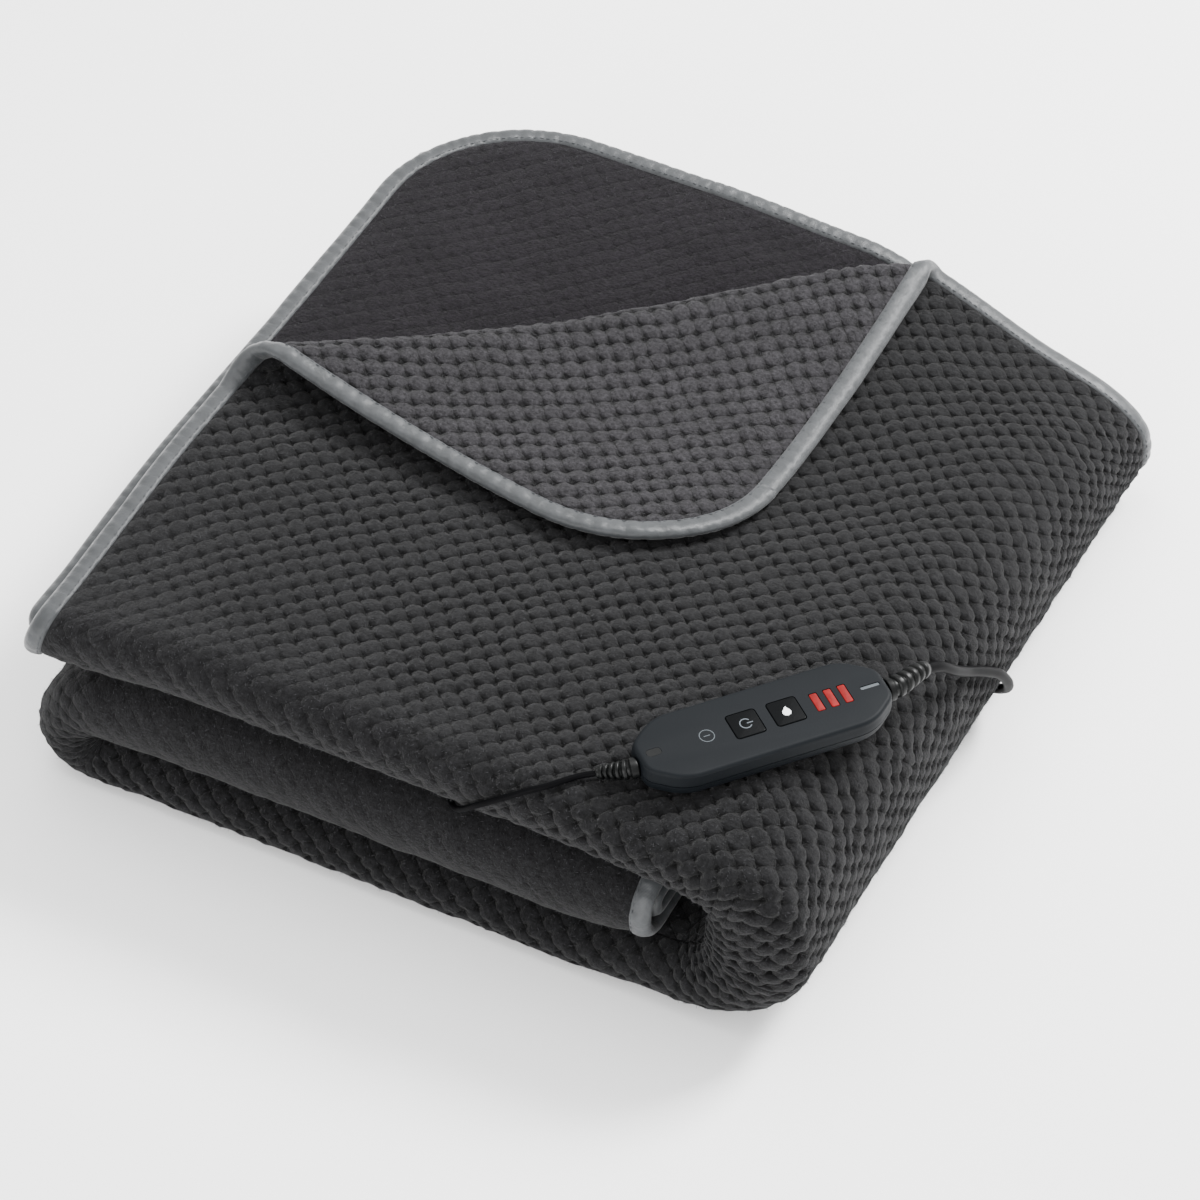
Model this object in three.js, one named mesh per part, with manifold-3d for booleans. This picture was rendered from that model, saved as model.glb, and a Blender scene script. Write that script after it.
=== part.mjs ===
// A heated overblanket, folded in four along its length and then in three across,
// with one corner turned back and its hand control on top.
// Millimetres: X runs along the front edge, Y from front to back, Z up from the
// surface that the pile lies on.
import * as THREE from 'three';
import { mergeVertices } from 'three/addons/utils/BufferGeometryUtils.js';
import Module from 'manifold-3d';

const UP = new THREE.Vector3(0, 0, 1);

// The cloth: one leaf is two bonded layers of embossed fleece.
const LEAF_T = 7;
const LEAF_PITCH = 10.2;
const SLAB_GAP = 4.6;
const CORNER_R = 81;
const CORNER_CHORDS = 7;

// The pile: three slabs of four leaves, over each other.
const PILE_LEFT = -220;
const PILE_RIGHT = 218;
const PILE_FRONT = -232;
const PILE_BACK = 238;
const LEAVES = 4;
const SLAB_T = (LEAVES - 1) * LEAF_PITCH + LEAF_T;
const SLAB_PITCH = SLAB_T + SLAB_GAP;
const HALF_T = LEAF_T / 2;
const HALF_SLAB = SLAB_T / 2;

// The binding: a satin tape folded over the cloth's whole edge.
const BINDING_W = 9.2;
const BINDING_T = 7.8;
const GAP = 0.45;

// Levels of the leaves' middles above the slab's inner face, outermost leaf first.
const LEVEL = [3, 2, 1, 0].map((k) => HALF_T + k * LEAF_PITCH);

// The fold across the length, from the outer leaf's free end at the back.
const EDGE_BACK = PILE_BACK - GAP - BINDING_W;
const BACK_FOLD_INSET = 38;
const OUTER_R = (LEVEL[0] - LEVEL[3]) / 2;
const INNER_R = LEAF_PITCH / 2;
const OUTER_Y = PILE_FRONT + HALF_T + OUTER_R;
const INNER_Y = OUTER_Y + 1;
const BACK_Y = PILE_BACK - BACK_FOLD_INSET - HALF_T - INNER_R;

// The fold across the width, from the top slab's free end on the left.
const TOP_EDGE_X = PILE_LEFT + GAP + BINDING_W + 10;
const LOWER_LEAF_SHIFT = 9.8;
const RIGHT_R = SLAB_PITCH;
const RIGHT_LOFT = 0.65;
const SHOULDER = 0.15;
const RIGHT_X = PILE_RIGHT - RIGHT_R - HALF_T - (1 + RIGHT_LOFT) * (HALF_SLAB - HALF_T);
const LEFT_R = SLAB_PITCH / 2;
const LEFT_X = PILE_LEFT + LEFT_R + HALF_SLAB;
const MIDDLE_EDGE_X = 128;

// The corner turned back: the line it rolls over and the size of that roll.
const ROLL_START = new THREE.Vector2(TOP_EDGE_X, -42);
const ROLL_END = new THREE.Vector2(84, EDGE_BACK);
const ROLL_BOW = 7.5;
const ROLL_R_START = 12.5;
const ROLL_R_END = 5;
const ROLL_REST = 9.8;
const ROLL_EASE_START = 110;
const ROLL_EASE_END = 40;
const FLAP_STRETCH = 1.09;
const ROLL_CHORDS = 9;
const ROLL_FULL_TURN = 1.12 * Math.PI;
const FLAP_CREASES = [14, 32, 55, 85];

// The hand control: a tapered handset of two shells, lying on the pile's shoulder.
const CONTROL_L = 134;
const CONTROL_W = 44;
const CONTROL_H = 15;
const CONTROL_SEAM = CONTROL_H / 2;
const CONTROL_END_W = 19;
const CONTROL_TAPER = 16;
const CONTROL_AT = new THREE.Vector3(156.1, -146.5, 119.2);
const CONTROL_HEADING = 51.5;
const CONTROL_PITCH = 2;
const CONTROL_ROLL = 3;
const KEY_W = 15.6;
const KEY_CORNER = 2;
const KEY_TRAVEL = 0.8;
const KEY_PROUD = 0.3;
const KEY_POCKET = 3.2;
const KEY_PLAY = 0.35;
const POWER_KEY_X = -9.6;
const HEAT_KEY_X = 12.2;
const LIGHT_L = 11.5;
const LIGHT_W = 4;
const LIGHT_POCKET = 1.2;
const LIGHT_X = [29, 36.6, 44.2];

// The leads: a thin one to the cloth and a mains lead to the plug.
const CONTROL_LEAD_D = 3.2;
const MAINS_LEAD_D = 5.6;
const CONTROL_LEAD_STEPS = 38;
const MAINS_LEAD_STEPS = 41;
const RELIEF_RIBS = 5;
const RELIEF_SIDES = 10;
const RELIEF_COLLAR_L = 3;
const RELIEF_TIP_L = 1.2;
const RIB = [
  { share: 0.05, drop: 1.3 },
  { share: 0.42, drop: 1.3 },
  { share: 0.5, drop: 0 },
  { share: 0.92, drop: 0 },
];
const COIL_AT = new THREE.Vector2(-45, 280.8);
const COIL_MIDDLE_R = 29.5;
const COIL_TURNS_WIDE = 4;
const COIL_TURNS_HIGH = 2;
const COIL_LIFT = 1.5;
const TIE_W = 9;
const TIE_T = 0.8;
const TIE_ANGLE = 60;

// The soft pile's sag: where each slope starts, how wide it is and its share of the height.
const SAG = {
  frontEdge: { from: 60, width: 190, share: 0.125 },
  frontTop: { from: 150, width: 65, share: 0.112 },
  frontReach: { from: -225, width: 70, share: 1 },
  backRight: { from: 20, width: 60, share: 1 },
  left: { from: 110, width: 110, share: 0.09 },
  leftReach: { from: 70, width: 150, share: 1 },
  back: { from: -100, width: 340, share: 0.07 },
  backReach: { from: -60, width: 140, share: 1 },
};
const SAG_PER_MM = 0.0024;
const SAG_STARTS_X = 40;
const HOLLOW = { x: -10, y: 50, width: 170, depth: 150, share: 0.15 };
const DROOP = {
  front: { from: 120, width: 100, share: 10 },
  left: { from: -150, width: 60, share: 1 },
};
const DRAWN_IN = {
  right: { from: 60, width: 120, share: 14 },
  back: { from: 120, width: 110, share: 1 },
};

// Lengths of the stretches of each fold, in the flat cloth.
const ACROSS = [
  { name: 'outer leaf', length: EDGE_BACK - OUTER_Y, parts: 9 },
  { name: 'outer front fold', length: Math.PI * OUTER_R, parts: 8 },
  { name: 'inner leaf', length: BACK_Y - OUTER_Y, parts: 5 },
  { name: 'back fold', length: Math.PI * INNER_R, parts: 6 },
  { name: 'third leaf', length: BACK_Y - INNER_Y, parts: 5 },
  { name: 'inner front fold', length: Math.PI * INNER_R, parts: 6 },
  { name: 'second leaf', length: EDGE_BACK - INNER_Y, parts: 8 },
];
const ALONG = [
  { name: 'top slab', length: RIGHT_X - TOP_EDGE_X, parts: 8 },
  { name: 'right fold', length: Math.PI * RIGHT_R, parts: 12 },
  { name: 'bottom slab', length: RIGHT_X - LEFT_X, parts: 6 },
  { name: 'left fold', length: Math.PI * LEFT_R, parts: 8 },
  { name: 'middle slab', length: MIDDLE_EDGE_X - LEFT_X, parts: 5 },
];

function total(stretches) {
  return stretches.reduce((sum, stretch) => sum + stretch.length, 0);
}

const CLOTH_LENGTH = total(ACROSS);
const CLOTH_WIDTH = total(ALONG);

function clamp01(t) {
  return Math.min(1, Math.max(0, t));
}

function smooth(t) {
  const c = clamp01(t);
  return c * c * (3 - 2 * c);
}

function mix(a, b, t) {
  return a + (b - a) * t;
}

// Finds the stretch that a distance falls in, and how far along that stretch it is.
function stretchAt(stretches, distance) {
  let rest = distance;
  for (let k = 0; k < stretches.length - 1; k += 1) {
    if (rest <= stretches[k].length) {
      return { index: k, rest };
    }
    rest -= stretches[k].length;
  }
  return { index: stretches.length - 1, rest };
}

// Where a point of the flat cloth's length lies in the slab: its y and its level.
function leafSection(v) {
  const { index, rest } = stretchAt(ACROSS, v);
  const outerMid = (LEVEL[0] + LEVEL[3]) / 2;
  const backMid = (LEVEL[2] + LEVEL[3]) / 2;
  const innerMid = (LEVEL[1] + LEVEL[2]) / 2;
  if (index === 0) {
    return { y: EDGE_BACK - rest, level: LEVEL[0] };
  }
  if (index === 1) {
    const turn = rest / OUTER_R;
    return { y: OUTER_Y - OUTER_R * Math.sin(turn), level: outerMid + OUTER_R * Math.cos(turn) };
  }
  if (index === 2) {
    return { y: OUTER_Y + rest, level: LEVEL[3] };
  }
  if (index === 3) {
    const turn = rest / INNER_R;
    return { y: BACK_Y + INNER_R * Math.sin(turn), level: backMid - INNER_R * Math.cos(turn) };
  }
  if (index === 4) {
    return { y: BACK_Y - rest, level: LEVEL[2] };
  }
  if (index === 5) {
    const turn = rest / INNER_R;
    return { y: INNER_Y - INNER_R * Math.sin(turn), level: innerMid - INNER_R * Math.cos(turn) };
  }
  return { y: INNER_Y + rest, level: LEVEL[1] };
}

// Where a point of the flat cloth's width lies in the pile, at a level of the slab.
function slabPlace(u, level) {
  const { index, rest } = stretchAt(ALONG, u);
  const out = level - HALF_SLAB;
  const topZ = 2 * SLAB_PITCH + HALF_SLAB;
  if (index === 0) {
    return { x: TOP_EDGE_X + rest, z: topZ + out };
  }
  if (index === 1) {
    const turn = rest / RIGHT_R;
    const shoulder = 1 + SHOULDER * Math.sin(2 * Math.min(turn, Math.PI / 2)) ** 2;
    const r = shoulder * (RIGHT_R + out * (1 + RIGHT_LOFT * Math.sin(turn) ** 2));
    return { x: RIGHT_X + r * Math.sin(turn), z: HALF_SLAB + RIGHT_R + r * Math.cos(turn) };
  }
  if (index === 2) {
    return { x: RIGHT_X - rest, z: HALF_SLAB - out };
  }
  if (index === 3) {
    const turn = rest / LEFT_R;
    const r = LEFT_R + out;
    return { x: LEFT_X - r * Math.sin(turn), z: HALF_SLAB + LEFT_R - r * Math.cos(turn) };
  }
  return { x: LEFT_X + rest, z: SLAB_PITCH + HALF_SLAB + out };
}

// In the top slab the lower leaves reach further left than the outer one.
function leafShift(u, v) {
  const past = (v - ACROSS[0].length) / ACROSS[1].length;
  const fade = 1 - (u - 0.8 * ALONG[0].length) / (0.8 * ALONG[1].length + 0.2 * ALONG[0].length);
  return LOWER_LEAF_SHIFT * smooth(past) * smooth(fade);
}

// Rolls the top leaf's back left corner over the line from ROLL_START to ROLL_END.
function turnBack(x, y) {
  const line = ROLL_END.clone().sub(ROLL_START);
  const span = line.length();
  line.divideScalar(span);
  const away = new THREE.Vector2(-line.y, line.x);
  const from = new THREE.Vector2(x, y).sub(ROLL_START);
  const along = from.dot(line);
  const t = clamp01(along / span);
  const bow = ROLL_BOW * 4 * t * (1 - t);
  const past = from.dot(away) + bow;
  if (past <= 0) {
    return { x, y, lift: 0 };
  }
  const r = mix(ROLL_R_START, ROLL_R_END, t);
  const ease = mix(ROLL_EASE_START, ROLL_EASE_END, t);
  const over = Math.asin((2 * r - ROLL_REST) / ease);
  const turn = past / r;
  let reach = r * Math.sin(turn);
  let lift = r * (1 - Math.cos(turn));
  if (turn > Math.PI + over) {
    const beyond = past - (Math.PI + over) * r;
    const drop = r * (1 + Math.cos(over)) - ROLL_REST;
    reach = -r * Math.sin(over) - beyond * Math.cos(over) * FLAP_STRETCH;
    lift = ROLL_REST + drop * Math.exp((-beyond * Math.sin(over)) / drop);
  }
  return {
    x: ROLL_START.x + line.x * along + away.x * (reach - bow),
    y: ROLL_START.y + line.y * along + away.y * (reach - bow),
    lift,
  };
}

// How far the soft pile has sunk at a spot, as a share of its height: each slope of it
// starts at a distance and reaches its full share one width further on.
function slopeOf(distance, { from, width, share }) {
  return share * smooth((distance - from) / width);
}

function sagAt(x, y) {
  const depth = clamp01((y - PILE_FRONT) / (PILE_BACK - PILE_FRONT)) ** 1.5;
  const frontEdge = slopeOf(x, SAG.frontEdge);
  const frontTop = slopeOf(x, SAG.frontTop);
  const front = mix(frontEdge, frontTop, slopeOf(y, SAG.frontReach));
  const back = SAG_PER_MM * Math.max(0, x - SAG_STARTS_X) * slopeOf(x, SAG.backRight);
  const leftFront = slopeOf(-x, SAG.left) * slopeOf(-y, SAG.leftReach);
  const wholeBack = slopeOf(y, SAG.back) * slopeOf(x, SAG.backReach);
  const hollow = HOLLOW.share * Math.exp(
    -(((x - HOLLOW.x) / HOLLOW.width) ** 2) - ((y - HOLLOW.y) / HOLLOW.depth) ** 2,
  );
  return mix(front, back, depth) + leftFront + wholeBack + hollow;
}

// The soft pile's own unevenness: it sinks, its front creases droop, and its back
// right corner is drawn in.
function settle(p) {
  const droop = slopeOf(-p.y, DROOP.front) * slopeOf(-p.x, DROOP.left);
  const wave = p.z < 2 * SLAB_PITCH ? Math.sin((Math.PI * p.z) / (2 * SLAB_PITCH)) : 0;
  const z = Math.max(0, p.z - droop * Math.max(0, wave));
  const draw = slopeOf(p.x, DRAWN_IN.right) * slopeOf(p.y, DRAWN_IN.back);
  return new THREE.Vector3(p.x, p.y - draw, z * (1 - sagAt(p.x, p.y)));
}

// The middle of the cloth at a point of its flat pattern, before the pile settles.
function place(u, v) {
  const { y, level } = leafSection(v);
  const spot = slabPlace(u - leafShift(u, v), level);
  const corner = v < ACROSS[0].length && u < ALONG[0].length;
  const turned = corner ? turnBack(spot.x, y) : { x: spot.x, y, lift: 0 };
  return new THREE.Vector3(turned.x, turned.y, spot.z + turned.lift);
}

// The outward normal of the cloth, and its slopes along the pattern.
function slopes(u, v) {
  const step = 0.05;
  const du = place(u + step, v).sub(place(u - step, v)).divideScalar(2 * step);
  const dv = place(u, v + step).sub(place(u, v - step)).divideScalar(2 * step);
  const normal = new THREE.Vector3().crossVectors(dv, du).normalize();
  return { du, dv, normal };
}

function lineMarks(stretches) {
  const marks = [0];
  let at = 0;
  for (const stretch of stretches) {
    for (let k = 1; k <= stretch.parts; k += 1) {
      marks.push(at + (stretch.length * k) / stretch.parts);
    }
    at += stretch.length;
  }
  return marks;
}

// Splits a convex polygon by the line a u + b v = c into the part below it and above it.
function split(polygon, [a, b, c]) {
  const below = [];
  const above = [];
  const side = polygon.map(([u, v]) => {
    const s = a * u + b * v - c;
    return Math.abs(s) < 1e-7 ? 0 : s;
  });
  for (let k = 0; k < polygon.length; k += 1) {
    const next = (k + 1) % polygon.length;
    if (side[k] <= 0) {
      below.push(polygon[k]);
    }
    if (side[k] >= 0) {
      above.push(polygon[k]);
    }
    if (side[k] * side[next] < 0) {
      const t = side[k] / (side[k] - side[next]);
      const cut = [mix(polygon[k][0], polygon[next][0], t), mix(polygon[k][1], polygon[next][1], t)];
      below.push(cut);
      above.push(cut);
    }
  }
  const real = (part) => (part.length > 2 && area(part) > 1e-4 ? part : null);
  return { below: real(below), above: real(above) };
}

function area(polygon) {
  let sum = 0;
  polygon.forEach(([u, v], k) => {
    const [nextU, nextV] = polygon[(k + 1) % polygon.length];
    sum += u * nextV - nextU * v;
  });
  return Math.abs(sum) / 2;
}

// The chords of the four rounded corners, each keeping what is below its line.
function cornerLines() {
  const lines = [];
  for (const [signU, signV] of [[-1, -1], [1, -1], [1, 1], [-1, 1]]) {
    const centreU = signU < 0 ? CORNER_R : CLOTH_WIDTH - CORNER_R;
    const centreV = signV < 0 ? CORNER_R : CLOTH_LENGTH - CORNER_R;
    for (let k = 0; k < CORNER_CHORDS; k += 1) {
      const middle = ((k + 0.5) / CORNER_CHORDS) * (Math.PI / 2);
      const reach = CORNER_R * Math.cos(Math.PI / 4 / CORNER_CHORDS);
      const a = signU * Math.cos(middle);
      const b = signV * Math.sin(middle);
      lines.push([a, b, a * centreU + b * centreV + reach]);
    }
  }
  return lines;
}

// The creases that the turned corner bends along, as lines in the flat pattern.
function rollLines() {
  const line = ROLL_END.clone().sub(ROLL_START);
  const span = line.length();
  line.divideScalar(span);
  const slope = (ROLL_R_END - ROLL_R_START) / span;
  const creases = [];
  for (let k = 0; k <= ROLL_CHORDS; k += 1) {
    creases.push({ turn: (k / ROLL_CHORDS) * ROLL_FULL_TURN, beyond: 0 });
  }
  for (const beyond of FLAP_CREASES) {
    creases.push({ turn: ROLL_FULL_TURN, beyond });
  }
  return creases.map(({ turn, beyond }) => {
    // past = turn (ROLL_R_START + slope along) + beyond, with x = u and y = -v
    const alongX = line.x;
    const alongY = line.y;
    const a = -alongY - turn * slope * alongX;
    const b = alongX - turn * slope * alongY;
    const x0 = ROLL_START.x - TOP_EDGE_X;
    const y0 = ROLL_START.y - EDGE_BACK;
    const c = turn * ROLL_R_START + beyond + a * x0 + b * y0;
    return [a, -b, c];
  });
}

// The flat pattern as convex cells, cut along every fold and round the corners.
function patternCells() {
  const us = lineMarks(ALONG);
  const vs = lineMarks(ACROSS);
  let cells = [];
  for (let i = 0; i + 1 < us.length; i += 1) {
    for (let j = 0; j + 1 < vs.length; j += 1) {
      cells.push([[us[i], vs[j]], [us[i + 1], vs[j]], [us[i + 1], vs[j + 1]], [us[i], vs[j + 1]]]);
    }
  }
  for (const line of cornerLines()) {
    cells = cells.map((cell) => split(cell, line).below).filter(Boolean);
  }
  for (const line of rollLines()) {
    cells = cells.flatMap((cell) => {
      const near = cell.every(([u, v]) => u < ALONG[0].length && v < ACROSS[0].length + 1e-6);
      if (!near) {
        return [cell];
      }
      const { below, above } = split(cell, line);
      return [below, above].filter(Boolean);
    });
  }
  return cells;
}

// Numbers the cells' corners once each.
function indexCells(cells) {
  const spots = [];
  const found = new Map();
  const number = ([u, v]) => {
    const key = `${Math.round(u * 2e3)},${Math.round(v * 2e3)}`;
    if (!found.has(key)) {
      found.set(key, spots.length);
      spots.push([u, v]);
    }
    return found.get(key);
  };
  const faces = cells.map((cell) => {
    const ids = cell.map(number);
    return ids.filter((id, k) => id !== ids[(k + 1) % ids.length]);
  });
  return { spots, faces: faces.filter((face) => face.length > 2) };
}

// The corners round the pattern's edge, in order.
function edgeLoop(faces) {
  const next = new Map();
  const edges = new Set();
  for (const face of faces) {
    face.forEach((id, k) => edges.add(`${id},${face[(k + 1) % face.length]}`));
  }
  for (const edge of edges) {
    const [from, to] = edge.split(',').map(Number);
    if (!edges.has(`${to},${from}`)) {
      next.set(from, to);
    }
  }
  const first = next.keys().next().value;
  const loop = [first];
  let at = next.get(first);
  while (at !== first) {
    loop.push(at);
    at = next.get(at);
  }
  if (loop.length !== next.size) {
    throw new Error(`the pattern has ${next.size} edges and one loop of ${loop.length}`);
  }
  return loop;
}

function geometryFrom(positions, triangles) {
  const geometry = new THREE.BufferGeometry();
  geometry.setAttribute('position', new THREE.Float32BufferAttribute(positions.flat(), 3));
  geometry.setIndex(triangles.flat());
  geometry.computeVertexNormals();
  return geometry;
}

// Cuts a convex face into triangles from the corner that gives the shortest cuts.
function fan(face, spots) {
  const cost = face.map((from) => {
    const [u, v] = spots[from];
    return face.reduce((sum, to) => sum + Math.hypot(spots[to][0] - u, spots[to][1] - v), 0);
  });
  const start = cost.indexOf(Math.min(...cost));
  const ids = [...face.slice(start), ...face.slice(0, start)];
  const triangles = [];
  for (let k = 1; k + 1 < ids.length; k += 1) {
    triangles.push([ids[0], ids[k], ids[k + 1]]);
  }
  return triangles;
}

function clothGeometry({ spots, faces }, loop) {
  const positions = [];
  for (const [u, v] of spots) {
    const middle = place(u, v);
    const { normal } = slopes(u, v);
    for (const side of [1, -1]) {
      positions.push(settle(middle.clone().addScaledVector(normal, side * HALF_T)).toArray());
    }
  }
  const triangles = [];
  for (const face of faces) {
    for (const [a, b, c] of fan(face, spots)) {
      triangles.push([2 * a, 2 * c, 2 * b]);
      triangles.push([2 * a + 1, 2 * b + 1, 2 * c + 1]);
    }
  }
  loop.forEach((id, k) => {
    const to = loop[(k + 1) % loop.length];
    triangles.push([2 * id, 2 * to, 2 * id + 1]);
    triangles.push([2 * to, 2 * to + 1, 2 * id + 1]);
  });
  return geometryFrom(positions, triangles);
}

// The tape's section: how far out from the cloth's edge, and how far to each side.
const BINDING_SECTION = [
  [GAP, -HALF_T],
  [GAP, HALF_T],
  [GAP + 0.55 * BINDING_W, BINDING_T / 2],
  [GAP + 0.9 * BINDING_W, 0.32 * BINDING_T],
  [GAP + BINDING_W, 0],
  [GAP + 0.9 * BINDING_W, -0.32 * BINDING_T],
  [GAP + 0.55 * BINDING_W, -BINDING_T / 2],
];

function bindingGeometry(spots, loop) {
  const count = BINDING_SECTION.length;
  const positions = [];
  loop.forEach((id, k) => {
    const before = spots[loop[(k + loop.length - 1) % loop.length]];
    const after = spots[loop[(k + 1) % loop.length]];
    const [u, v] = spots[id];
    const { du, dv, normal } = slopes(u, v);
    const run = new THREE.Vector2(u - before[0], v - before[1]).normalize();
    run.add(new THREE.Vector2(after[0] - u, after[1] - v).normalize()).normalize();
    const tangent = du.multiplyScalar(run.x).addScaledVector(dv, run.y).normalize();
    const out = new THREE.Vector3().crossVectors(normal, tangent).normalize();
    const edge = place(u, v);
    for (const [reach, side] of BINDING_SECTION) {
      const corner = edge.clone().addScaledVector(out, reach).addScaledVector(normal, side);
      positions.push(settle(corner).toArray());
    }
  });
  const triangles = [];
  loop.forEach((id, k) => {
    const a = k * count;
    const b = ((k + 1) % loop.length) * count;
    for (let s = 0; s < count; s += 1) {
      const t = (s + 1) % count;
      triangles.push([a + s, b + s, b + t]);
      triangles.push([a + s, b + t, a + t]);
    }
  });
  return geometryFrom(positions, triangles);
}

// A closed body over a row of rings with the same number of points, its two ends filled.
function lofted(rings) {
  const count = rings[0].length;
  const triangles = [];
  for (let ring = 0; ring + 1 < rings.length; ring += 1) {
    for (let k = 0; k < count; k += 1) {
      const a = ring * count + k;
      const b = ring * count + ((k + 1) % count);
      triangles.push([a, b, b + count], [a, b + count, a + count]);
    }
  }
  const last = (rings.length - 1) * count;
  for (let k = 1; k + 1 < count; k += 1) {
    triangles.push([0, k + 1, k], [last, last + k, last + k + 1]);
  }
  return geometryFrom(rings.flat().map((point) => point.toArray()), triangles);
}

// Moves each side of a convex outline inwards by a distance.
function insetBy(corners, distance) {
  const count = corners.length;
  const sides = corners.map(([x, y], k) => {
    const [nextX, nextY] = corners[(k + 1) % count];
    const length = Math.hypot(nextX - x, nextY - y);
    const inward = [-(nextY - y) / length, (nextX - x) / length];
    return { inward, reach: inward[0] * x + inward[1] * y + distance };
  });
  return sides.map((side, k) => {
    const before = sides[(k + count - 1) % count];
    const cross = before.inward[0] * side.inward[1] - before.inward[1] * side.inward[0];
    const x = (before.reach * side.inward[1] - side.reach * before.inward[1]) / cross;
    const y = (side.reach * before.inward[0] - before.reach * side.inward[0]) / cross;
    return [x, y];
  });
}

// Rounds a convex outline's corners.
function rounded(corners, radius, steps) {
  return corners.flatMap((corner, k) => {
    const at = new THREE.Vector2(...corner);
    const before = new THREE.Vector2(...corners[(k + corners.length - 1) % corners.length]);
    const after = new THREE.Vector2(...corners[(k + 1) % corners.length]);
    const from = before.sub(at).setLength(radius).add(at);
    const to = after.sub(at).setLength(radius).add(at);
    const bend = new THREE.QuadraticBezierCurve(from, at, to);
    return bend.getPoints(steps);
  });
}

// A body with one outline from above, drawn in by its own inset at each level.
function stacked(corners, radius, levels, steps = 2) {
  return lofted(levels.map(({ z, inset }) => {
    const outline = rounded(insetBy(corners, inset), Math.max(0.4, radius - inset), steps);
    return outline.map(({ x, y }) => new THREE.Vector3(x, y, z));
  }));
}

function rectangle(width, depth) {
  const x = width / 2;
  const y = depth / 2;
  return [[x, -y], [x, y], [-x, y], [-x, -y]];
}

// The control's outline: straight sides, drawn in towards narrow ends.
function controlOutline() {
  const end = CONTROL_L / 2;
  const side = CONTROL_W / 2;
  const straight = end - CONTROL_TAPER;
  const narrow = CONTROL_END_W / 2;
  return [
    [end, -narrow], [end, narrow], [straight, side], [-straight, side],
    [-end, narrow], [-end, -narrow], [-straight, -side], [straight, -side],
  ];
}

function lowerShellGeometry() {
  return stacked(controlOutline(), 5, [
    { z: 0, inset: 4.4 },
    { z: 0.9, inset: 2.4 },
    { z: 3, inset: 0.8 },
    { z: CONTROL_SEAM - GAP / 2, inset: 0 },
  ]);
}

function upperShellGeometry(wasm) {
  const shell = stacked(controlOutline(), 5, [
    { z: CONTROL_SEAM + GAP / 2, inset: 0 },
    { z: CONTROL_H - 3.2, inset: 0.5 },
    { z: CONTROL_H - 1, inset: 1.3 },
    { z: CONTROL_H, inset: 2.8 },
  ]);
  const pocket = (width, depth, corner, drop) => stacked(rectangle(width, depth), corner, [
    { z: CONTROL_H - drop, inset: 0 },
    { z: CONTROL_H + 1, inset: 0 },
  ]);
  const play = 2 * KEY_PLAY;
  const cuts = [POWER_KEY_X, HEAT_KEY_X].map((x) => {
    return pocket(KEY_W + play, KEY_W + play, KEY_CORNER + KEY_PLAY, KEY_POCKET).translate(x, 0, 0);
  });
  for (const x of LIGHT_X) {
    cuts.push(pocket(LIGHT_W + play, LIGHT_L + play, 1, LIGHT_POCKET).translate(x, 0, 0));
  }
  const solid = cuts.reduce((left, cut) => left.subtract(toSolid(wasm, cut)), toSolid(wasm, shell));
  return fromSolid(solid);
}

function toSolid(wasm, geometry) {
  const bare = new THREE.BufferGeometry();
  bare.setAttribute('position', geometry.getAttribute('position').clone());
  bare.setIndex(geometry.getIndex().clone());
  const merged = mergeVertices(bare, 1e-4);
  return new wasm.Manifold(new wasm.Mesh({
    numProp: 3,
    vertProperties: new Float32Array(merged.getAttribute('position').array),
    triVerts: new Uint32Array(merged.getIndex().array),
  }));
}

function fromSolid(solid) {
  const { vertProperties, triVerts } = solid.getMesh();
  const geometry = new THREE.BufferGeometry();
  geometry.setAttribute('position', new THREE.BufferAttribute(new Float32Array(vertProperties), 3));
  geometry.setIndex(Array.from(triVerts));
  geometry.computeVertexNormals();
  return geometry;
}

function keyGeometry() {
  const top = CONTROL_H + KEY_PROUD;
  return stacked(rectangle(KEY_W, KEY_W), KEY_CORNER, [
    { z: CONTROL_H - KEY_POCKET + KEY_TRAVEL + GAP, inset: 0 },
    { z: top - 0.5, inset: 0 },
    { z: top, inset: 0.6 },
  ]);
}

function lightGeometry() {
  return stacked(rectangle(LIGHT_W, LIGHT_L), 0.8, [
    { z: CONTROL_H - LIGHT_POCKET + GAP, inset: 0 },
    { z: CONTROL_H + 0.1, inset: 0 },
  ]);
}

// A tapered, ribbed sleeve along a bend, from the control's end to where the lead comes out.
function reliefGeometry(bend, collarR, tipR) {
  const length = bend.getLength();
  const ribbed = length - RELIEF_COLLAR_L - RELIEF_TIP_L - GAP;
  const radiusAt = (distance) => {
    return mix(collarR, tipR + 0.6, clamp01((distance - RELIEF_COLLAR_L) / ribbed));
  };
  const stations = [{ distance: 0, r: collarR }, { distance: RELIEF_COLLAR_L, r: collarR }];
  const pitch = ribbed / RELIEF_RIBS;
  for (let rib = 0; rib < RELIEF_RIBS; rib += 1) {
    const start = RELIEF_COLLAR_L + rib * pitch;
    for (const { share, drop } of RIB) {
      const distance = start + share * pitch;
      stations.push({ distance, r: radiusAt(distance) - drop });
    }
  }
  stations.push({ distance: length - RELIEF_TIP_L, r: tipR }, { distance: length, r: tipR });
  return lofted(stations.map(({ distance, r }) => {
    const t = distance / length;
    const along = bend.getTangentAt(t);
    const across = new THREE.Vector3().crossVectors(UP, along).normalize();
    const over = new THREE.Vector3().crossVectors(along, across);
    return Array.from({ length: RELIEF_SIDES }, (_, k) => {
      const angle = (k / RELIEF_SIDES) * 2 * Math.PI;
      const point = bend.getPointAt(t).addScaledVector(across, r * Math.cos(angle));
      return point.addScaledVector(over, r * Math.sin(angle));
    });
  }));
}

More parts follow.
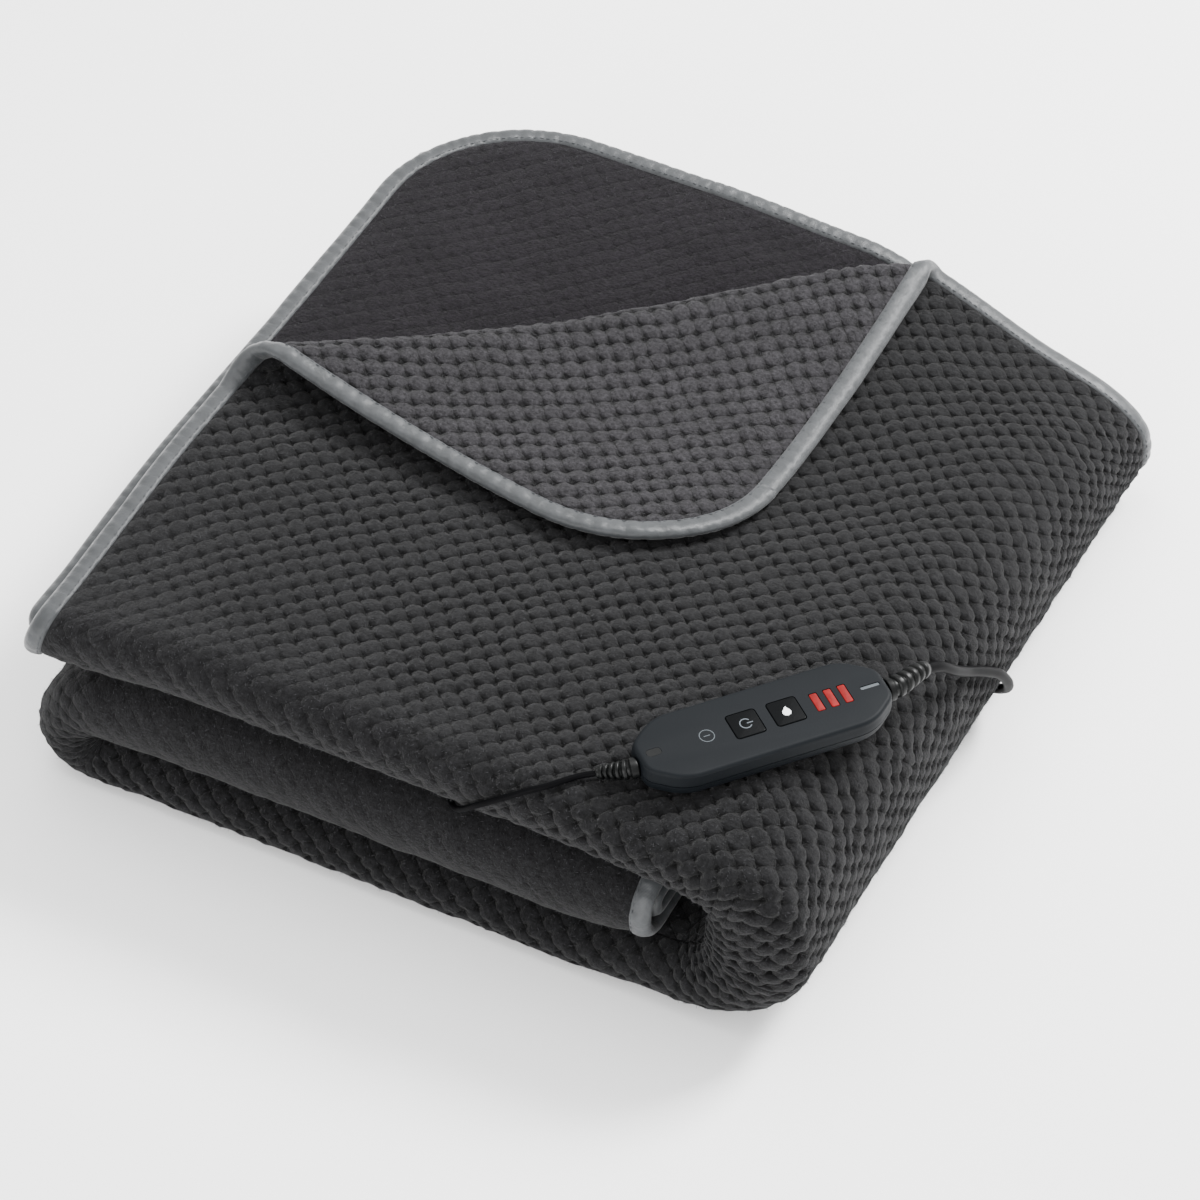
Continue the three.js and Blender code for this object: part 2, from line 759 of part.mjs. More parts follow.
// A lead's round tube along its route.
function leadGeometry(points, diameter, sides, steps) {
  const section = new THREE.Shape();
  for (let k = 0; k < sides; k += 1) {
    const angle = (k / sides) * 2 * Math.PI;
    const x = (diameter / 2) * Math.cos(angle);
    const y = (diameter / 2) * Math.sin(angle);
    if (k === 0) {
      section.moveTo(x, y);
    } else {
      section.lineTo(x, y);
    }
  }
  section.closePath();
  const route = new THREE.CatmullRomCurve3(points.map((point) => new THREE.Vector3(...point)));
  return new THREE.ExtrudeGeometry(section, { steps, bevelEnabled: false, extrudePath: route });
}

// Routes by hand: from the control over the front roll and into the crease, and from
// the control over the right fold, along the floor and behind the pile to the coil.
const CONTROL_LEAD_ROUTE = [
  [96.7, -207.2, 123.8], [90.3, -211.1, 122.6], [84.2, -217.2, 122], [77.8, -222.9, 120.4],
  [70.8, -227, 118.1], [63.1, -230.8, 114.1], [55, -233.2, 109], [46.3, -234.4, 102.6],
  [38, -232.6, 94.2], [31, -228.4, 87], [24.5, -221.5, 81.4], [18, -213.5, 80.4],
  [14.2, -204.5, 80.2], [15.2, -196, 80.2], [21, -189.6, 80.2], [32, -186.4, 80.2],
  [50, -186, 80.2], [75, -187, 80], [100, -188.6, 79.7], [118, -190, 79.4],
  [132, -191, 79.1], [141, -191.5, 77.8], [148, -191.7, 74.6], [150.4, -191.8, 69.6],
  [148.2, -191.8, 64.9], [143.6, -191.8, 62.6], [138.5, -191.8, 62.2],
];
const MAINS_LEAD_ROUTE = [
  [207.1, -64.4, 116.6], [210.6, -54, 110.6], [212.9, -45.5, 102], [214, -36, 92.5],
  [214.9, -26.5, 84], [216.6, -17.5, 76.8], [218.8, -8.5, 69.2], [220.8, 0.5, 61],
  [222, 8, 51.6], [222, 15, 41], [219.4, 22, 30], [212.6, 29, 19.4],
  [203.4, 36.5, 10.4], [195.4, 46, 4.6], [191, 60, 3.1], [189.8, 85, 3],
  [189.4, 120, 3], [190.4, 155, 3], [192, 185, 3], [192.6, 207, 3],
  [189.4, 225, 3], [179, 240, 3], [161, 248, 3], [135, 250.6, 3],
  [100, 250.8, 3], [65, 249.4, 3], [35, 247.6, 3.3], [8, 245.6, 3.8],
  [-8, 244.6, 4.1], [-20.9, 244.3, 4.3],
];
const TAIL_LEAD_ROUTE = [
  [-81, 256.6, 9.6], [-86, 258, 9], [-91, 259.1, 8], [-97, 259.3, 7],
];

function coilGeometry() {
  const half = (COIL_TURNS_WIDE * MAINS_LEAD_D) / 2;
  const high = COIL_TURNS_HIGH * MAINS_LEAD_D;
  const ease = MAINS_LEAD_D * 0.3;
  const inner = COIL_MIDDLE_R - half;
  const outer = COIL_MIDDLE_R + half;
  const profile = [
    [inner + ease, 0], [outer - ease, 0], [outer, ease], [outer, high - ease],
    [outer - ease, high], [inner + ease, high], [inner, high - ease], [inner, ease], [inner + ease, 0],
  ];
  return new THREE.LatheGeometry(profile.map(([r, z]) => new THREE.Vector2(r, z)), 36);
}

// A strap round the coil's turns: a flat band, closed round the coil's section.
function tieGeometry() {
  const half = (COIL_TURNS_WIDE * MAINS_LEAD_D) / 2;
  const high = COIL_TURNS_HIGH * MAINS_LEAD_D;
  const sag = 0.8;
  const low = COIL_LIFT - GAP;
  const band = (grow) => {
    const width = 2 * half + 2 * GAP + sag + 2 * grow;
    const height = high + 2 * GAP + 2 * grow;
    const outline = rounded(rectangle(width, height), 1.5 + grow, 2);
    return outline.map(({ x, y }) => new THREE.Vector2(x - sag / 2, y + low + high / 2 + GAP));
  };
  const strap = new THREE.Shape(band(TIE_T));
  strap.holes.push(new THREE.Path(band(0)));
  return new THREE.ExtrudeGeometry(strap, { depth: TIE_W, bevelEnabled: false });
}

// The two-pin plug, lying flat, its pins towards -X.
const PLUG_AT = new THREE.Vector3(-117.2, 259.3, 0);
const PLUG_L = 35;
const PLUG_W = 35;
const PLUG_H = 13.8;
const PIN_D = 4;
const PIN_L = 19;
const PIN_SPACING = 18.6;

function plugBodyGeometry() {
  const half = PLUG_W / 2;
  const face = half - 4.5;
  const outline = [[0, -8], [0, 8], [-9, half], [-PLUG_L + 5, half], [-PLUG_L, face],
    [-PLUG_L, -face], [-PLUG_L + 5, -half], [-9, -half]];
  return stacked(outline, 3.5, [
    { z: 0, inset: 1.8 },
    { z: 1.8, inset: 0 },
    { z: PLUG_H - 1.8, inset: 0 },
    { z: PLUG_H, inset: 1.8 },
  ]);
}

function pinGeometry() {
  const r = PIN_D / 2;
  const profile = [[0, 0], [r, 0], [r, PIN_L - 1], [r - 0.8, PIN_L], [0, PIN_L]];
  return new THREE.LatheGeometry(profile.map(([x, y]) => new THREE.Vector2(x, y)), 12);
}

function mesh(name, geometry, colour, roughness = 0.8) {
  const material = new THREE.MeshStandardMaterial({ color: colour, roughness });
  const made = new THREE.Mesh(geometry, material);
  made.name = name;
  return made;
}

const CLOTH_COLOUR = 0x3a3a3c;
const BINDING_COLOUR = 0x85888b;
const CONTROL_COLOUR = 0x3a4147;
const KEY_COLOUR = 0x24272c;
const LIGHT_COLOUR = 0xb83a3a;
const LEAD_COLOUR = 0x141416;
const PIN_COLOUR = 0xb9bbbe;

const wasm = await Module();
wasm.setup();

const blanket = new THREE.Group();
blanket.name = 'heated_overblanket';
const pattern = indexCells(patternCells());
const patternEdge = edgeLoop(pattern.faces);
blanket.add(mesh('cloth', clothGeometry(pattern, patternEdge), CLOTH_COLOUR));
blanket.add(mesh('binding', bindingGeometry(pattern.spots, patternEdge), BINDING_COLOUR));

const control = new THREE.Group();
control.position.copy(CONTROL_AT);
control.rotation.set(
  THREE.MathUtils.degToRad(CONTROL_ROLL),
  THREE.MathUtils.degToRad(CONTROL_PITCH),
  THREE.MathUtils.degToRad(CONTROL_HEADING),
  'ZYX',
);
control.add(mesh('control_lower_shell', lowerShellGeometry(), CONTROL_COLOUR, 0.5));
control.add(mesh('control_upper_shell', upperShellGeometry(wasm), CONTROL_COLOUR, 0.5));
for (const [name, x] of [['power_key', POWER_KEY_X], ['heat_key', HEAT_KEY_X]]) {
  const key = mesh(name, keyGeometry(), KEY_COLOUR, 0.4);
  key.position.x = x;
  control.add(key);
}
LIGHT_X.forEach((x, k) => {
  const light = mesh(`light_${k + 1}`, lightGeometry(), LIGHT_COLOUR, 0.3);
  light.position.x = x;
  control.add(light);
});
blanket.add(control);
control.updateMatrixWorld();

// The sleeves leave the control's ends along its length and bend towards the leads.
function reliefBend(side, tip, tipDirection, reach) {
  const start = new THREE.Vector3(side * (CONTROL_L / 2 + GAP), 0, CONTROL_SEAM);
  const out = new THREE.Vector3(side * reach, 0, 0).add(start);
  const before = tipDirection.clone().setLength(reach);
  return new THREE.CubicBezierCurve3(
    start.applyMatrix4(control.matrixWorld),
    out.applyMatrix4(control.matrixWorld),
    tip.clone().sub(before),
    tip,
  );
}

function routeStart(route) {
  const [first, second] = route.map((point) => new THREE.Vector3(...point));
  const direction = second.clone().sub(first).normalize();
  return { tip: first.addScaledVector(direction, -GAP), direction };
}

const thinStart = routeStart(CONTROL_LEAD_ROUTE);
const mainsStart = routeStart(MAINS_LEAD_ROUTE);
const thinBend = reliefBend(-1, thinStart.tip, thinStart.direction, 7);
const mainsBend = reliefBend(1, mainsStart.tip, mainsStart.direction, 10);
blanket.add(mesh('control_lead_relief', reliefGeometry(thinBend, 5.4, 2.9), LEAD_COLOUR, 0.5));
blanket.add(mesh('mains_lead_relief', reliefGeometry(mainsBend, 6.2, 3.9), LEAD_COLOUR, 0.5));

const thinLead = leadGeometry(CONTROL_LEAD_ROUTE, CONTROL_LEAD_D, 8, CONTROL_LEAD_STEPS);
blanket.add(mesh('control_lead', thinLead, LEAD_COLOUR, 0.4));
const mainsLead = leadGeometry(MAINS_LEAD_ROUTE, MAINS_LEAD_D, 10, MAINS_LEAD_STEPS);
blanket.add(mesh('mains_lead', mainsLead, LEAD_COLOUR, 0.4));
const tailLead = leadGeometry(TAIL_LEAD_ROUTE, MAINS_LEAD_D, 10, 2);
blanket.add(mesh('mains_lead_tail', tailLead, LEAD_COLOUR, 0.4));

const coil = new THREE.Group();
coil.position.set(COIL_AT.x, COIL_AT.y, 0);
const coilTurns = mesh('lead_coil', coilGeometry(), LEAD_COLOUR, 0.4);
coilTurns.rotation.x = Math.PI / 2;
coilTurns.position.z = COIL_LIFT;
coil.add(coilTurns);
const tieTurn = new THREE.Group();
tieTurn.rotation.z = THREE.MathUtils.degToRad(TIE_ANGLE);
const tie = mesh('coil_tie', tieGeometry(), LEAD_COLOUR, 0.9);
tie.rotation.x = Math.PI / 2;
tie.position.set(COIL_MIDDLE_R, TIE_W / 2, 0);
tieTurn.add(tie);
coil.add(tieTurn);
blanket.add(coil);

const plug = new THREE.Group();
plug.position.copy(PLUG_AT);
plug.add(mesh('plug_body', plugBodyGeometry(), LEAD_COLOUR, 0.5));
[-1, 1].forEach((side, k) => {
  const pin = mesh(`plug_pin_${k + 1}`, pinGeometry(), PIN_COLOUR, 0.3);
  pin.rotation.z = Math.PI / 2;
  pin.position.set(-PLUG_L - GAP, (side * PIN_SPACING) / 2, PLUG_H / 2);
  plug.add(pin);
});
blanket.add(plug);
const tailStart = routeStart([...TAIL_LEAD_ROUTE].reverse());
const plugBend = new THREE.CubicBezierCurve3(
  PLUG_AT.clone().add(new THREE.Vector3(GAP, 0, PLUG_H / 2)),
  PLUG_AT.clone().add(new THREE.Vector3(8, 0, PLUG_H / 2)),
  tailStart.tip.clone().addScaledVector(tailStart.direction, -8),
  tailStart.tip,
);
blanket.add(mesh('plug_relief', reliefGeometry(plugBend, 5.6, 3.8), LEAD_COLOUR, 0.5));

export default blanket;
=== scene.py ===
"""The looks of a folded heated overblanket with its hand control.

Lengths in this script are millimetres in the row frame, and MM turns them to metres.
"""
import math

import bmesh
import bpy
import numpy as np
from mathutils import Euler, Matrix, Vector


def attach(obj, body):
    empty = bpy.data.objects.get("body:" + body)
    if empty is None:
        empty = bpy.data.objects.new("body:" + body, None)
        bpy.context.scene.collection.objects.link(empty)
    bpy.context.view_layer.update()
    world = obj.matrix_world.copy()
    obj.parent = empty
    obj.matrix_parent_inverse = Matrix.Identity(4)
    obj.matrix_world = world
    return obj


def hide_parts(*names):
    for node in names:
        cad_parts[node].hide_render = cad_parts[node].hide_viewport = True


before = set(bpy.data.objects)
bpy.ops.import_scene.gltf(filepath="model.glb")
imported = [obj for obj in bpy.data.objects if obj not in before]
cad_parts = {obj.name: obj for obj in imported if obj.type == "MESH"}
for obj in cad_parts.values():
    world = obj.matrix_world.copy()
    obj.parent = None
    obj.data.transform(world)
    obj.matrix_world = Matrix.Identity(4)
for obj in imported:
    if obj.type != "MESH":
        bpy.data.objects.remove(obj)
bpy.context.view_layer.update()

MM = 0.001
ROOT = "blanket"

# The camera stands in front of the pile's right half and looks down on it.
CAMERA_AZIMUTH = 27.0
CAMERA_ELEVATION = 44.81
CAMERA_TARGET = Vector((-11.61, 10.23, 0.0)) * MM
CAMERA_DISTANCE = 2472.2 * MM
CAMERA_LENS = 138.0

# The cloth and its folds, with the same named sizes as the solids.
LEAF_T = 7.0
LEAF_PITCH = 10.2
SLAB_GAP = 4.6
CORNER_R = 81.0
PILE_LEFT, PILE_RIGHT = -220.0, 218.0
PILE_FRONT, PILE_BACK = -232.0, 238.0
SLAB_T = 3 * LEAF_PITCH + LEAF_T
SLAB_PITCH = SLAB_T + SLAB_GAP
HALF_T = LEAF_T / 2
HALF_SLAB = SLAB_T / 2
BINDING_W = 9.2
GAP = 0.45
LEVEL = [HALF_T + k * LEAF_PITCH for k in (3, 2, 1, 0)]
EDGE_BACK = PILE_BACK - GAP - BINDING_W
BACK_FOLD_INSET = 38.0
OUTER_R = (LEVEL[0] - LEVEL[3]) / 2
INNER_R = LEAF_PITCH / 2
OUTER_Y = PILE_FRONT + HALF_T + OUTER_R
INNER_Y = OUTER_Y + 1.0
BACK_Y = PILE_BACK - BACK_FOLD_INSET - HALF_T - INNER_R
TOP_EDGE_X = PILE_LEFT + GAP + BINDING_W + 10.0
LOWER_LEAF_SHIFT = 9.8
RIGHT_R = SLAB_PITCH
RIGHT_LOFT = 0.65
SHOULDER = 0.15
RIGHT_X = PILE_RIGHT - RIGHT_R - HALF_T - (1 + RIGHT_LOFT) * (HALF_SLAB - HALF_T)
LEFT_R = SLAB_PITCH / 2
LEFT_X = PILE_LEFT + LEFT_R + HALF_SLAB
MIDDLE_EDGE_X = 128.0
ROLL_START = np.array([TOP_EDGE_X, -42.0])
ROLL_END = np.array([84.0, EDGE_BACK])
ROLL_BOW = 7.5
ROLL_R_START, ROLL_R_END = 12.5, 5.0
ROLL_REST = 9.8
ROLL_EASE_START, ROLL_EASE_END = 110.0, 40.0
FLAP_STRETCH = 1.09

ACROSS = [
    EDGE_BACK - OUTER_Y,
    math.pi * OUTER_R,
    BACK_Y - OUTER_Y,
    math.pi * INNER_R,
    BACK_Y - INNER_Y,
    math.pi * INNER_R,
    EDGE_BACK - INNER_Y,
]
ALONG = [
    RIGHT_X - TOP_EDGE_X,
    math.pi * RIGHT_R,
    RIGHT_X - LEFT_X,
    math.pi * LEFT_R,
    MIDDLE_EDGE_X - LEFT_X,
]
CLOTH_L = sum(ACROSS)
CLOTH_W = sum(ALONG)
ACROSS_AT = np.concatenate([[0.0], np.cumsum(ACROSS)])
ALONG_AT = np.concatenate([[0.0], np.cumsum(ALONG)])

# The embossed pattern: square pillows set cornerwise, with a pit at each crossing.
PILLOW_PITCH = 9.6
HALF_DIAGONAL = PILLOW_PITCH / math.sqrt(2)
GRID_STEP = HALF_DIAGONAL / 3
PILLOW_H = 0.5
GROOVE_DEPTH, GROOVE_W = 0.15, 1.2
PIT_DEPTH, PIT_R = 2.0, 2.1
PINCH_DEPTH, PINCH_REACH = 1.5, 3.0

# How strongly the pattern shows on each stretch of the cloth, for 1 at its deepest.
EMBOSSED = {
    "top": 1.0,
    "front_left": 0.6,
    "front_roll": 0.5,
    "bottom": 0.95,
    "left_fold": 0.5,
    "middle": 0.24,
    "flap": 0.9,
    "short_pile": 0.26,
}

# Layers of smooth noise, each with its height, its spacing and its seed.
PATTERN_DRIFT = [(0.4, 8.0, 11), (0.3, 40.0, 12)]
FUZZ = [(0.42, 3.1, 5), (0.5, 17.0, 6)]
WANDER_U = [(1.3, 11, 1), (1.6, 60, 2)]
WANDER_V = [(1.3, 11, 3), (1.6, 60, 4)]
WANDER_EASE = (4, 20, 1)

# Slopes of the soft pile, each with where it starts, its width and what it reaches.
SAG = {
    "front_edge": (60, 190, 0.125),
    "front_top": (150, 65, 0.112),
    "front_reach": (-225, 70, 1),
    "back_right": (20, 60, 1),
    "left": (110, 110, 0.09),
    "left_reach": (70, 150, 1),
    "back": (-100, 340, 0.07),
    "back_reach": (-60, 140, 1),
}
SAG_PER_MM = 0.0024
SAG_STARTS_X = 40
HOLLOW = {"x": -10, "y": 50, "width": 170, "depth": 150, "share": 0.15}
DROOP = {"front": (120, 100, 10), "left": (-150, 60, 1)}
DRAWN_IN = {"right": (60, 120, 14), "back": (120, 110, 1)}
# where the embossing on the top leaf softens: towards its front left corner, and on its front roll
SOFTENED = {
    "left": (10, 170, 1),
    "front": (50, 110, 1),
    "roll": (-35, 45, 1),
    "roll_left": (-120, 90, 1),
}


def smooth(t):
    c = np.clip(t, 0.0, 1.0)
    return c * c * (3 - 2 * c)


def mix(a, b, t):
    return a + (b - a) * t


def stretch_at(edges, distance):
    index = np.clip(np.searchsorted(edges, distance, side="right") - 1, 0, len(edges) - 2)
    return index, distance - edges[index]


def leaf_section(v):
    """Where a point of the flat cloth's length lies in its slab: y and level."""
    index, rest = stretch_at(ACROSS_AT, v)
    outer_mid = (LEVEL[0] + LEVEL[3]) / 2
    back_mid = (LEVEL[2] + LEVEL[3]) / 2
    inner_mid = (LEVEL[1] + LEVEL[2]) / 2
    outer_turn, inner_turn = rest / OUTER_R, rest / INNER_R
    level_of = np.array([LEVEL[0], 0, LEVEL[3], 0, LEVEL[2], 0, LEVEL[1]])
    turns = [index == 1, index == 3, index == 5]
    y = np.select(
        [index == 0, *turns, index == 2, index == 4],
        [
            EDGE_BACK - rest,
            OUTER_Y - OUTER_R * np.sin(outer_turn),
            BACK_Y + INNER_R * np.sin(inner_turn),
            INNER_Y - INNER_R * np.sin(inner_turn),
            OUTER_Y + rest,
            BACK_Y - rest,
        ],
        INNER_Y + rest,
    )
    level = np.select(
        turns,
        [
            outer_mid + OUTER_R * np.cos(outer_turn),
            back_mid - INNER_R * np.cos(inner_turn),
            inner_mid - INNER_R * np.cos(inner_turn),
        ],
        level_of[index],
    )
    return y, level


def slab_place(u, level):
    """Where a point of the flat cloth's width lies in the pile: x and z."""
    index, rest = stretch_at(ALONG_AT, u)
    out = level - HALF_SLAB
    top_z = 2 * SLAB_PITCH + HALF_SLAB
    right = rest / RIGHT_R
    shoulder = 1 + SHOULDER * np.sin(2 * np.minimum(right, math.pi / 2)) ** 2
    right_r = shoulder * (RIGHT_R + out * (1 + RIGHT_LOFT * np.sin(right) ** 2))
    left = rest / LEFT_R
    left_r = LEFT_R + out
    parts = [index == 0, index == 1, index == 2, index == 3]
    x = np.select(
        parts,
        [
            TOP_EDGE_X + rest,
            RIGHT_X + right_r * np.sin(right),
            RIGHT_X - rest,
            LEFT_X - left_r * np.sin(left),
        ],
        LEFT_X + rest,
    )
    z = np.select(
        parts,
        [
            top_z + out,
            HALF_SLAB + RIGHT_R + right_r * np.cos(right),
            HALF_SLAB - out,
            HALF_SLAB + LEFT_R - left_r * np.cos(left),
        ],
        SLAB_PITCH + HALF_SLAB + out,
    )
    return x, z


def leaf_shift(u, v):
    """How much further left the leaves under the top one lie, down to none in the right fold."""
    past = (v - ACROSS[0]) / ACROSS[1]
    fade = 1 - (u - 0.8 * ALONG[0]) / (0.8 * ALONG[1] + 0.2 * ALONG[0])
    return LOWER_LEAF_SHIFT * smooth(past) * smooth(fade)


def turn_back(x, y):
    """Rolls the top leaf's back left corner over, and lays the flap down."""
    line = ROLL_END - ROLL_START
    span = np.hypot(*line)
    line = line / span
    away = np.array([-line[1], line[0]])
    from_x, from_y = x - ROLL_START[0], y - ROLL_START[1]
    along = from_x * line[0] + from_y * line[1]
    t = np.clip(along / span, 0, 1)
    bow = ROLL_BOW * 4 * t * (1 - t)
    past = from_x * away[0] + from_y * away[1] + bow
    r = mix(ROLL_R_START, ROLL_R_END, t)
    over = np.arcsin((2 * r - ROLL_REST) / mix(ROLL_EASE_START, ROLL_EASE_END, t))
    turn = past / r
    beyond = np.maximum(past - (math.pi + over) * r, 0)
    drop = r * (1 + np.cos(over)) - ROLL_REST
    laid = turn > math.pi + over
    flat_reach = -r * np.sin(over) - beyond * np.cos(over) * FLAP_STRETCH
    reach = np.where(laid, flat_reach, r * np.sin(turn))
    lift = np.where(
        laid,
        ROLL_REST + drop * np.exp(-beyond * np.sin(over) / drop),
        r * (1 - np.cos(turn)),
    )
    moved = past > 0
    shift = reach - bow
    new_x = ROLL_START[0] + line[0] * along + away[0] * shift
    new_y = ROLL_START[1] + line[1] * along + away[1] * shift
    return np.where(moved, new_x, x), np.where(moved, new_y, y), np.where(moved, lift, 0)


def slope_of(distance, slope):
    """A slope's height at a distance. With a minus sign it runs to the left or the front."""
    start, width, share = slope
    return share * smooth((distance - start) / width)


def sag_at(x, y):
    """How far the soft pile has sunk at a spot, as a share of its height."""
    depth = np.clip((y - PILE_FRONT) / (PILE_BACK - PILE_FRONT), 0, 1) ** 1.5
    front_edge = slope_of(x, SAG["front_edge"])
    front_top = slope_of(x, SAG["front_top"])
    front = mix(front_edge, front_top, slope_of(y, SAG["front_reach"]))
    back = SAG_PER_MM * np.maximum(0, x - SAG_STARTS_X) * slope_of(x, SAG["back_right"])
    left_front = slope_of(-x, SAG["left"]) * slope_of(-y, SAG["left_reach"])
    whole_back = slope_of(y, SAG["back"]) * slope_of(x, SAG["back_reach"])
    from_x = (x - HOLLOW["x"]) / HOLLOW["width"]
    from_y = (y - HOLLOW["y"]) / HOLLOW["depth"]
    hollow = HOLLOW["share"] * np.exp(-(from_x**2) - from_y**2)
    return mix(front, back, depth) + left_front + whole_back + hollow


def settle(x, y, z):
    """The soft pile's unevenness: it sinks, its creases droop, its back right corner is drawn in."""
    droop = slope_of(-y, DROOP["front"]) * slope_of(-x, DROOP["left"])
    wave = np.where(z < 2 * SLAB_PITCH, np.sin(math.pi * z / (2 * SLAB_PITCH)), 0)
    low = np.maximum(0, z - droop * np.maximum(0, wave))
    draw = slope_of(x, DRAWN_IN["right"]) * slope_of(y, DRAWN_IN["back"])
    return np.stack([x, y - draw, low * (1 - sag_at(x, y))], axis=-1)


def place(u, v):
    """The middle of the cloth at a point of its flat pattern, before the pile settles."""
    y, level = leaf_section(v)
    x, z = slab_place(u - leaf_shift(u, v), level)
    corner = (v < ACROSS[0]) & (u < ALONG[0])
    turned_x, turned_y, lift = turn_back(x, y)
    x = np.where(corner, turned_x, x)
    y = np.where(corner, turned_y, y)
    return np.stack([x, y, z + np.where(corner, lift, 0)], axis=-1)


def slopes(u, v):
    step = 0.05
    du = (place(u + step, v) - place(u - step, v)) / (2 * step)
    dv = (place(u, v + step) - place(u, v - step)) / (2 * step)
    normal = np.cross(dv, du)
    return du, dv, normal / np.linalg.norm(normal, axis=-1, keepdims=True)


def table_noise(u, v, spacing, seed):
    """Smooth noise between -1 and 1 that changes over a spacing."""
    table = np.random.default_rng(seed).uniform(-1, 1, (64, 64))
    a, b = u / spacing + 17.3, v / spacing + 9.1
    i, j = np.floor(a).astype(int), np.floor(b).astype(int)
    s, t = smooth(a - i), smooth(b - j)
    low = mix(table[i % 64, j % 64], table[(i + 1) % 64, j % 64], s)
    high = mix(table[i % 64, (j + 1) % 64], table[(i + 1) % 64, (j + 1) % 64], s)
    return mix(low, high, t)


def layered(layers, u, v):
    return sum(height * table_noise(u, v, spacing, seed) for height, spacing, seed in layers)


def inside_edge(u, v):
    """How far a point of the flat pattern lies inside its rounded outline."""
    a = np.abs(u - CLOTH_W / 2) - (CLOTH_W / 2 - CORNER_R)
    b = np.abs(v - CLOTH_L / 2) - (CLOTH_L / 2 - CORNER_R)
    past = np.hypot(np.maximum(a, 0), np.maximum(b, 0))
    return CORNER_R - past - np.minimum(np.maximum(a, b), 0)


def face_reach(edges, longer, end):
    """A table from the flat pattern to the outer face, which is longer round the folds."""
    flat = np.linspace(-10, end + 10, 4001)
    index, rest = stretch_at(edges, flat)
    share = np.ones_like(flat)
    for fold, ratio in longer.items():
        share = np.where(index == fold, ratio(rest), share)
    face = np.concatenate([[0], np.cumsum((share[1:] + share[:-1]) / 2 * np.diff(flat))])
    return flat, face + flat[0]


def right_ratio(rest):
    turn = np.clip(rest / RIGHT_R, 0, math.pi)
    shoulder = 1 + SHOULDER * np.sin(2 * np.minimum(turn, math.pi / 2)) ** 2
    return shoulder * (RIGHT_R + HALF_SLAB * (1 + RIGHT_LOFT * np.sin(turn) ** 2)) / RIGHT_R


def left_ratio(rest):
    return 1 + HALF_SLAB / LEFT_R + 0 * rest


def front_ratio(rest):
    return 1 + HALF_T / OUTER_R + 0 * rest


WIDTH_REACH = face_reach(ALONG_AT, {1: right_ratio, 3: left_ratio}, CLOTH_W)
LENGTH_REACH = face_reach(ACROSS_AT, {1: front_ratio}, CLOTH_L)


def emboss_outer(u, v):
    """How strongly the pattern stands out on the cloth's outer face."""
    index, _ = stretch_at(ALONG_AT, u)
    x, y = TOP_EDGE_X + u, EDGE_BACK - v
    soft = slope_of(-x, SOFTENED["left"]) * slope_of(-y, SOFTENED["front"])
    rolled = slope_of(v - ACROSS[0], SOFTENED["roll"]) * slope_of(-x, SOFTENED["roll_left"])
    top = mix(EMBOSSED["top"], EMBOSSED["front_left"], soft)
    top = top * mix(EMBOSSED["top"], EMBOSSED["front_roll"], rolled)
    stretches = [top, EMBOSSED["bottom"], EMBOSSED["left_fold"]]
    return np.select([index <= 1, index == 2, index == 3], stretches, EMBOSSED["middle"])


def emboss_inner(u, v):
    """The same on the inner face: strong on the flap, faint on the short pile below it."""
    return np.where(v < ACROSS_AT[2], EMBOSSED["flap"], EMBOSSED["short_pile"])


def pillow_relief(u, v):
    """How deep the embossing goes in at a point of the pattern, for full strength."""
    a, b = (u + v) / (2 * HALF_DIAGONAL), (u - v) / (2 * HALF_DIAGONAL)
    off_a, off_b = a - np.round(a), b - np.round(b)
    dome = np.cos(math.pi * (np.abs(off_a) - 0.5)) * np.cos(math.pi * (np.abs(off_b) - 0.5))
    beside = PILLOW_PITCH * np.minimum(np.abs(off_a), np.abs(off_b))
    groove = np.exp(-((beside / GROOVE_W) ** 2))
    away = PILLOW_PITCH * np.hypot(off_a, off_b)
    pit = np.exp(-((away / PIT_R) ** 2))
    uneven = 1 + layered(PATTERN_DRIFT, u, v)
    return (PILLOW_H * (1 - dome) + GROOVE_DEPTH * groove + PIT_DEPTH * pit) * uneven


def face_points(u, v, relief_u, relief_v, side, strength):
    """One face's points: the folds from the warped pattern, the relief from the even one."""
    normal = slopes(u, v)[2]
    within = inside_edge(u, v)
    pinch = PINCH_DEPTH * np.exp(-((np.maximum(within, 0) / PINCH_REACH) ** 2))
    away = smooth(within / (2 * PINCH_REACH))
    relief = strength * pillow_relief(relief_u, relief_v) * away
    depth = HALF_T - pinch - relief + layered(FUZZ, u, v) * away
    at = place(u, v) + normal * (side * depth)[..., None]
    return settle(at[..., 0], at[..., 1], at[..., 2])


def linked(name, data):
    """A new object in the scene for a mesh, curve, light or camera."""
    made = bpy.data.objects.new(name, data)
    bpy.context.scene.collection.objects.link(made)
    return made


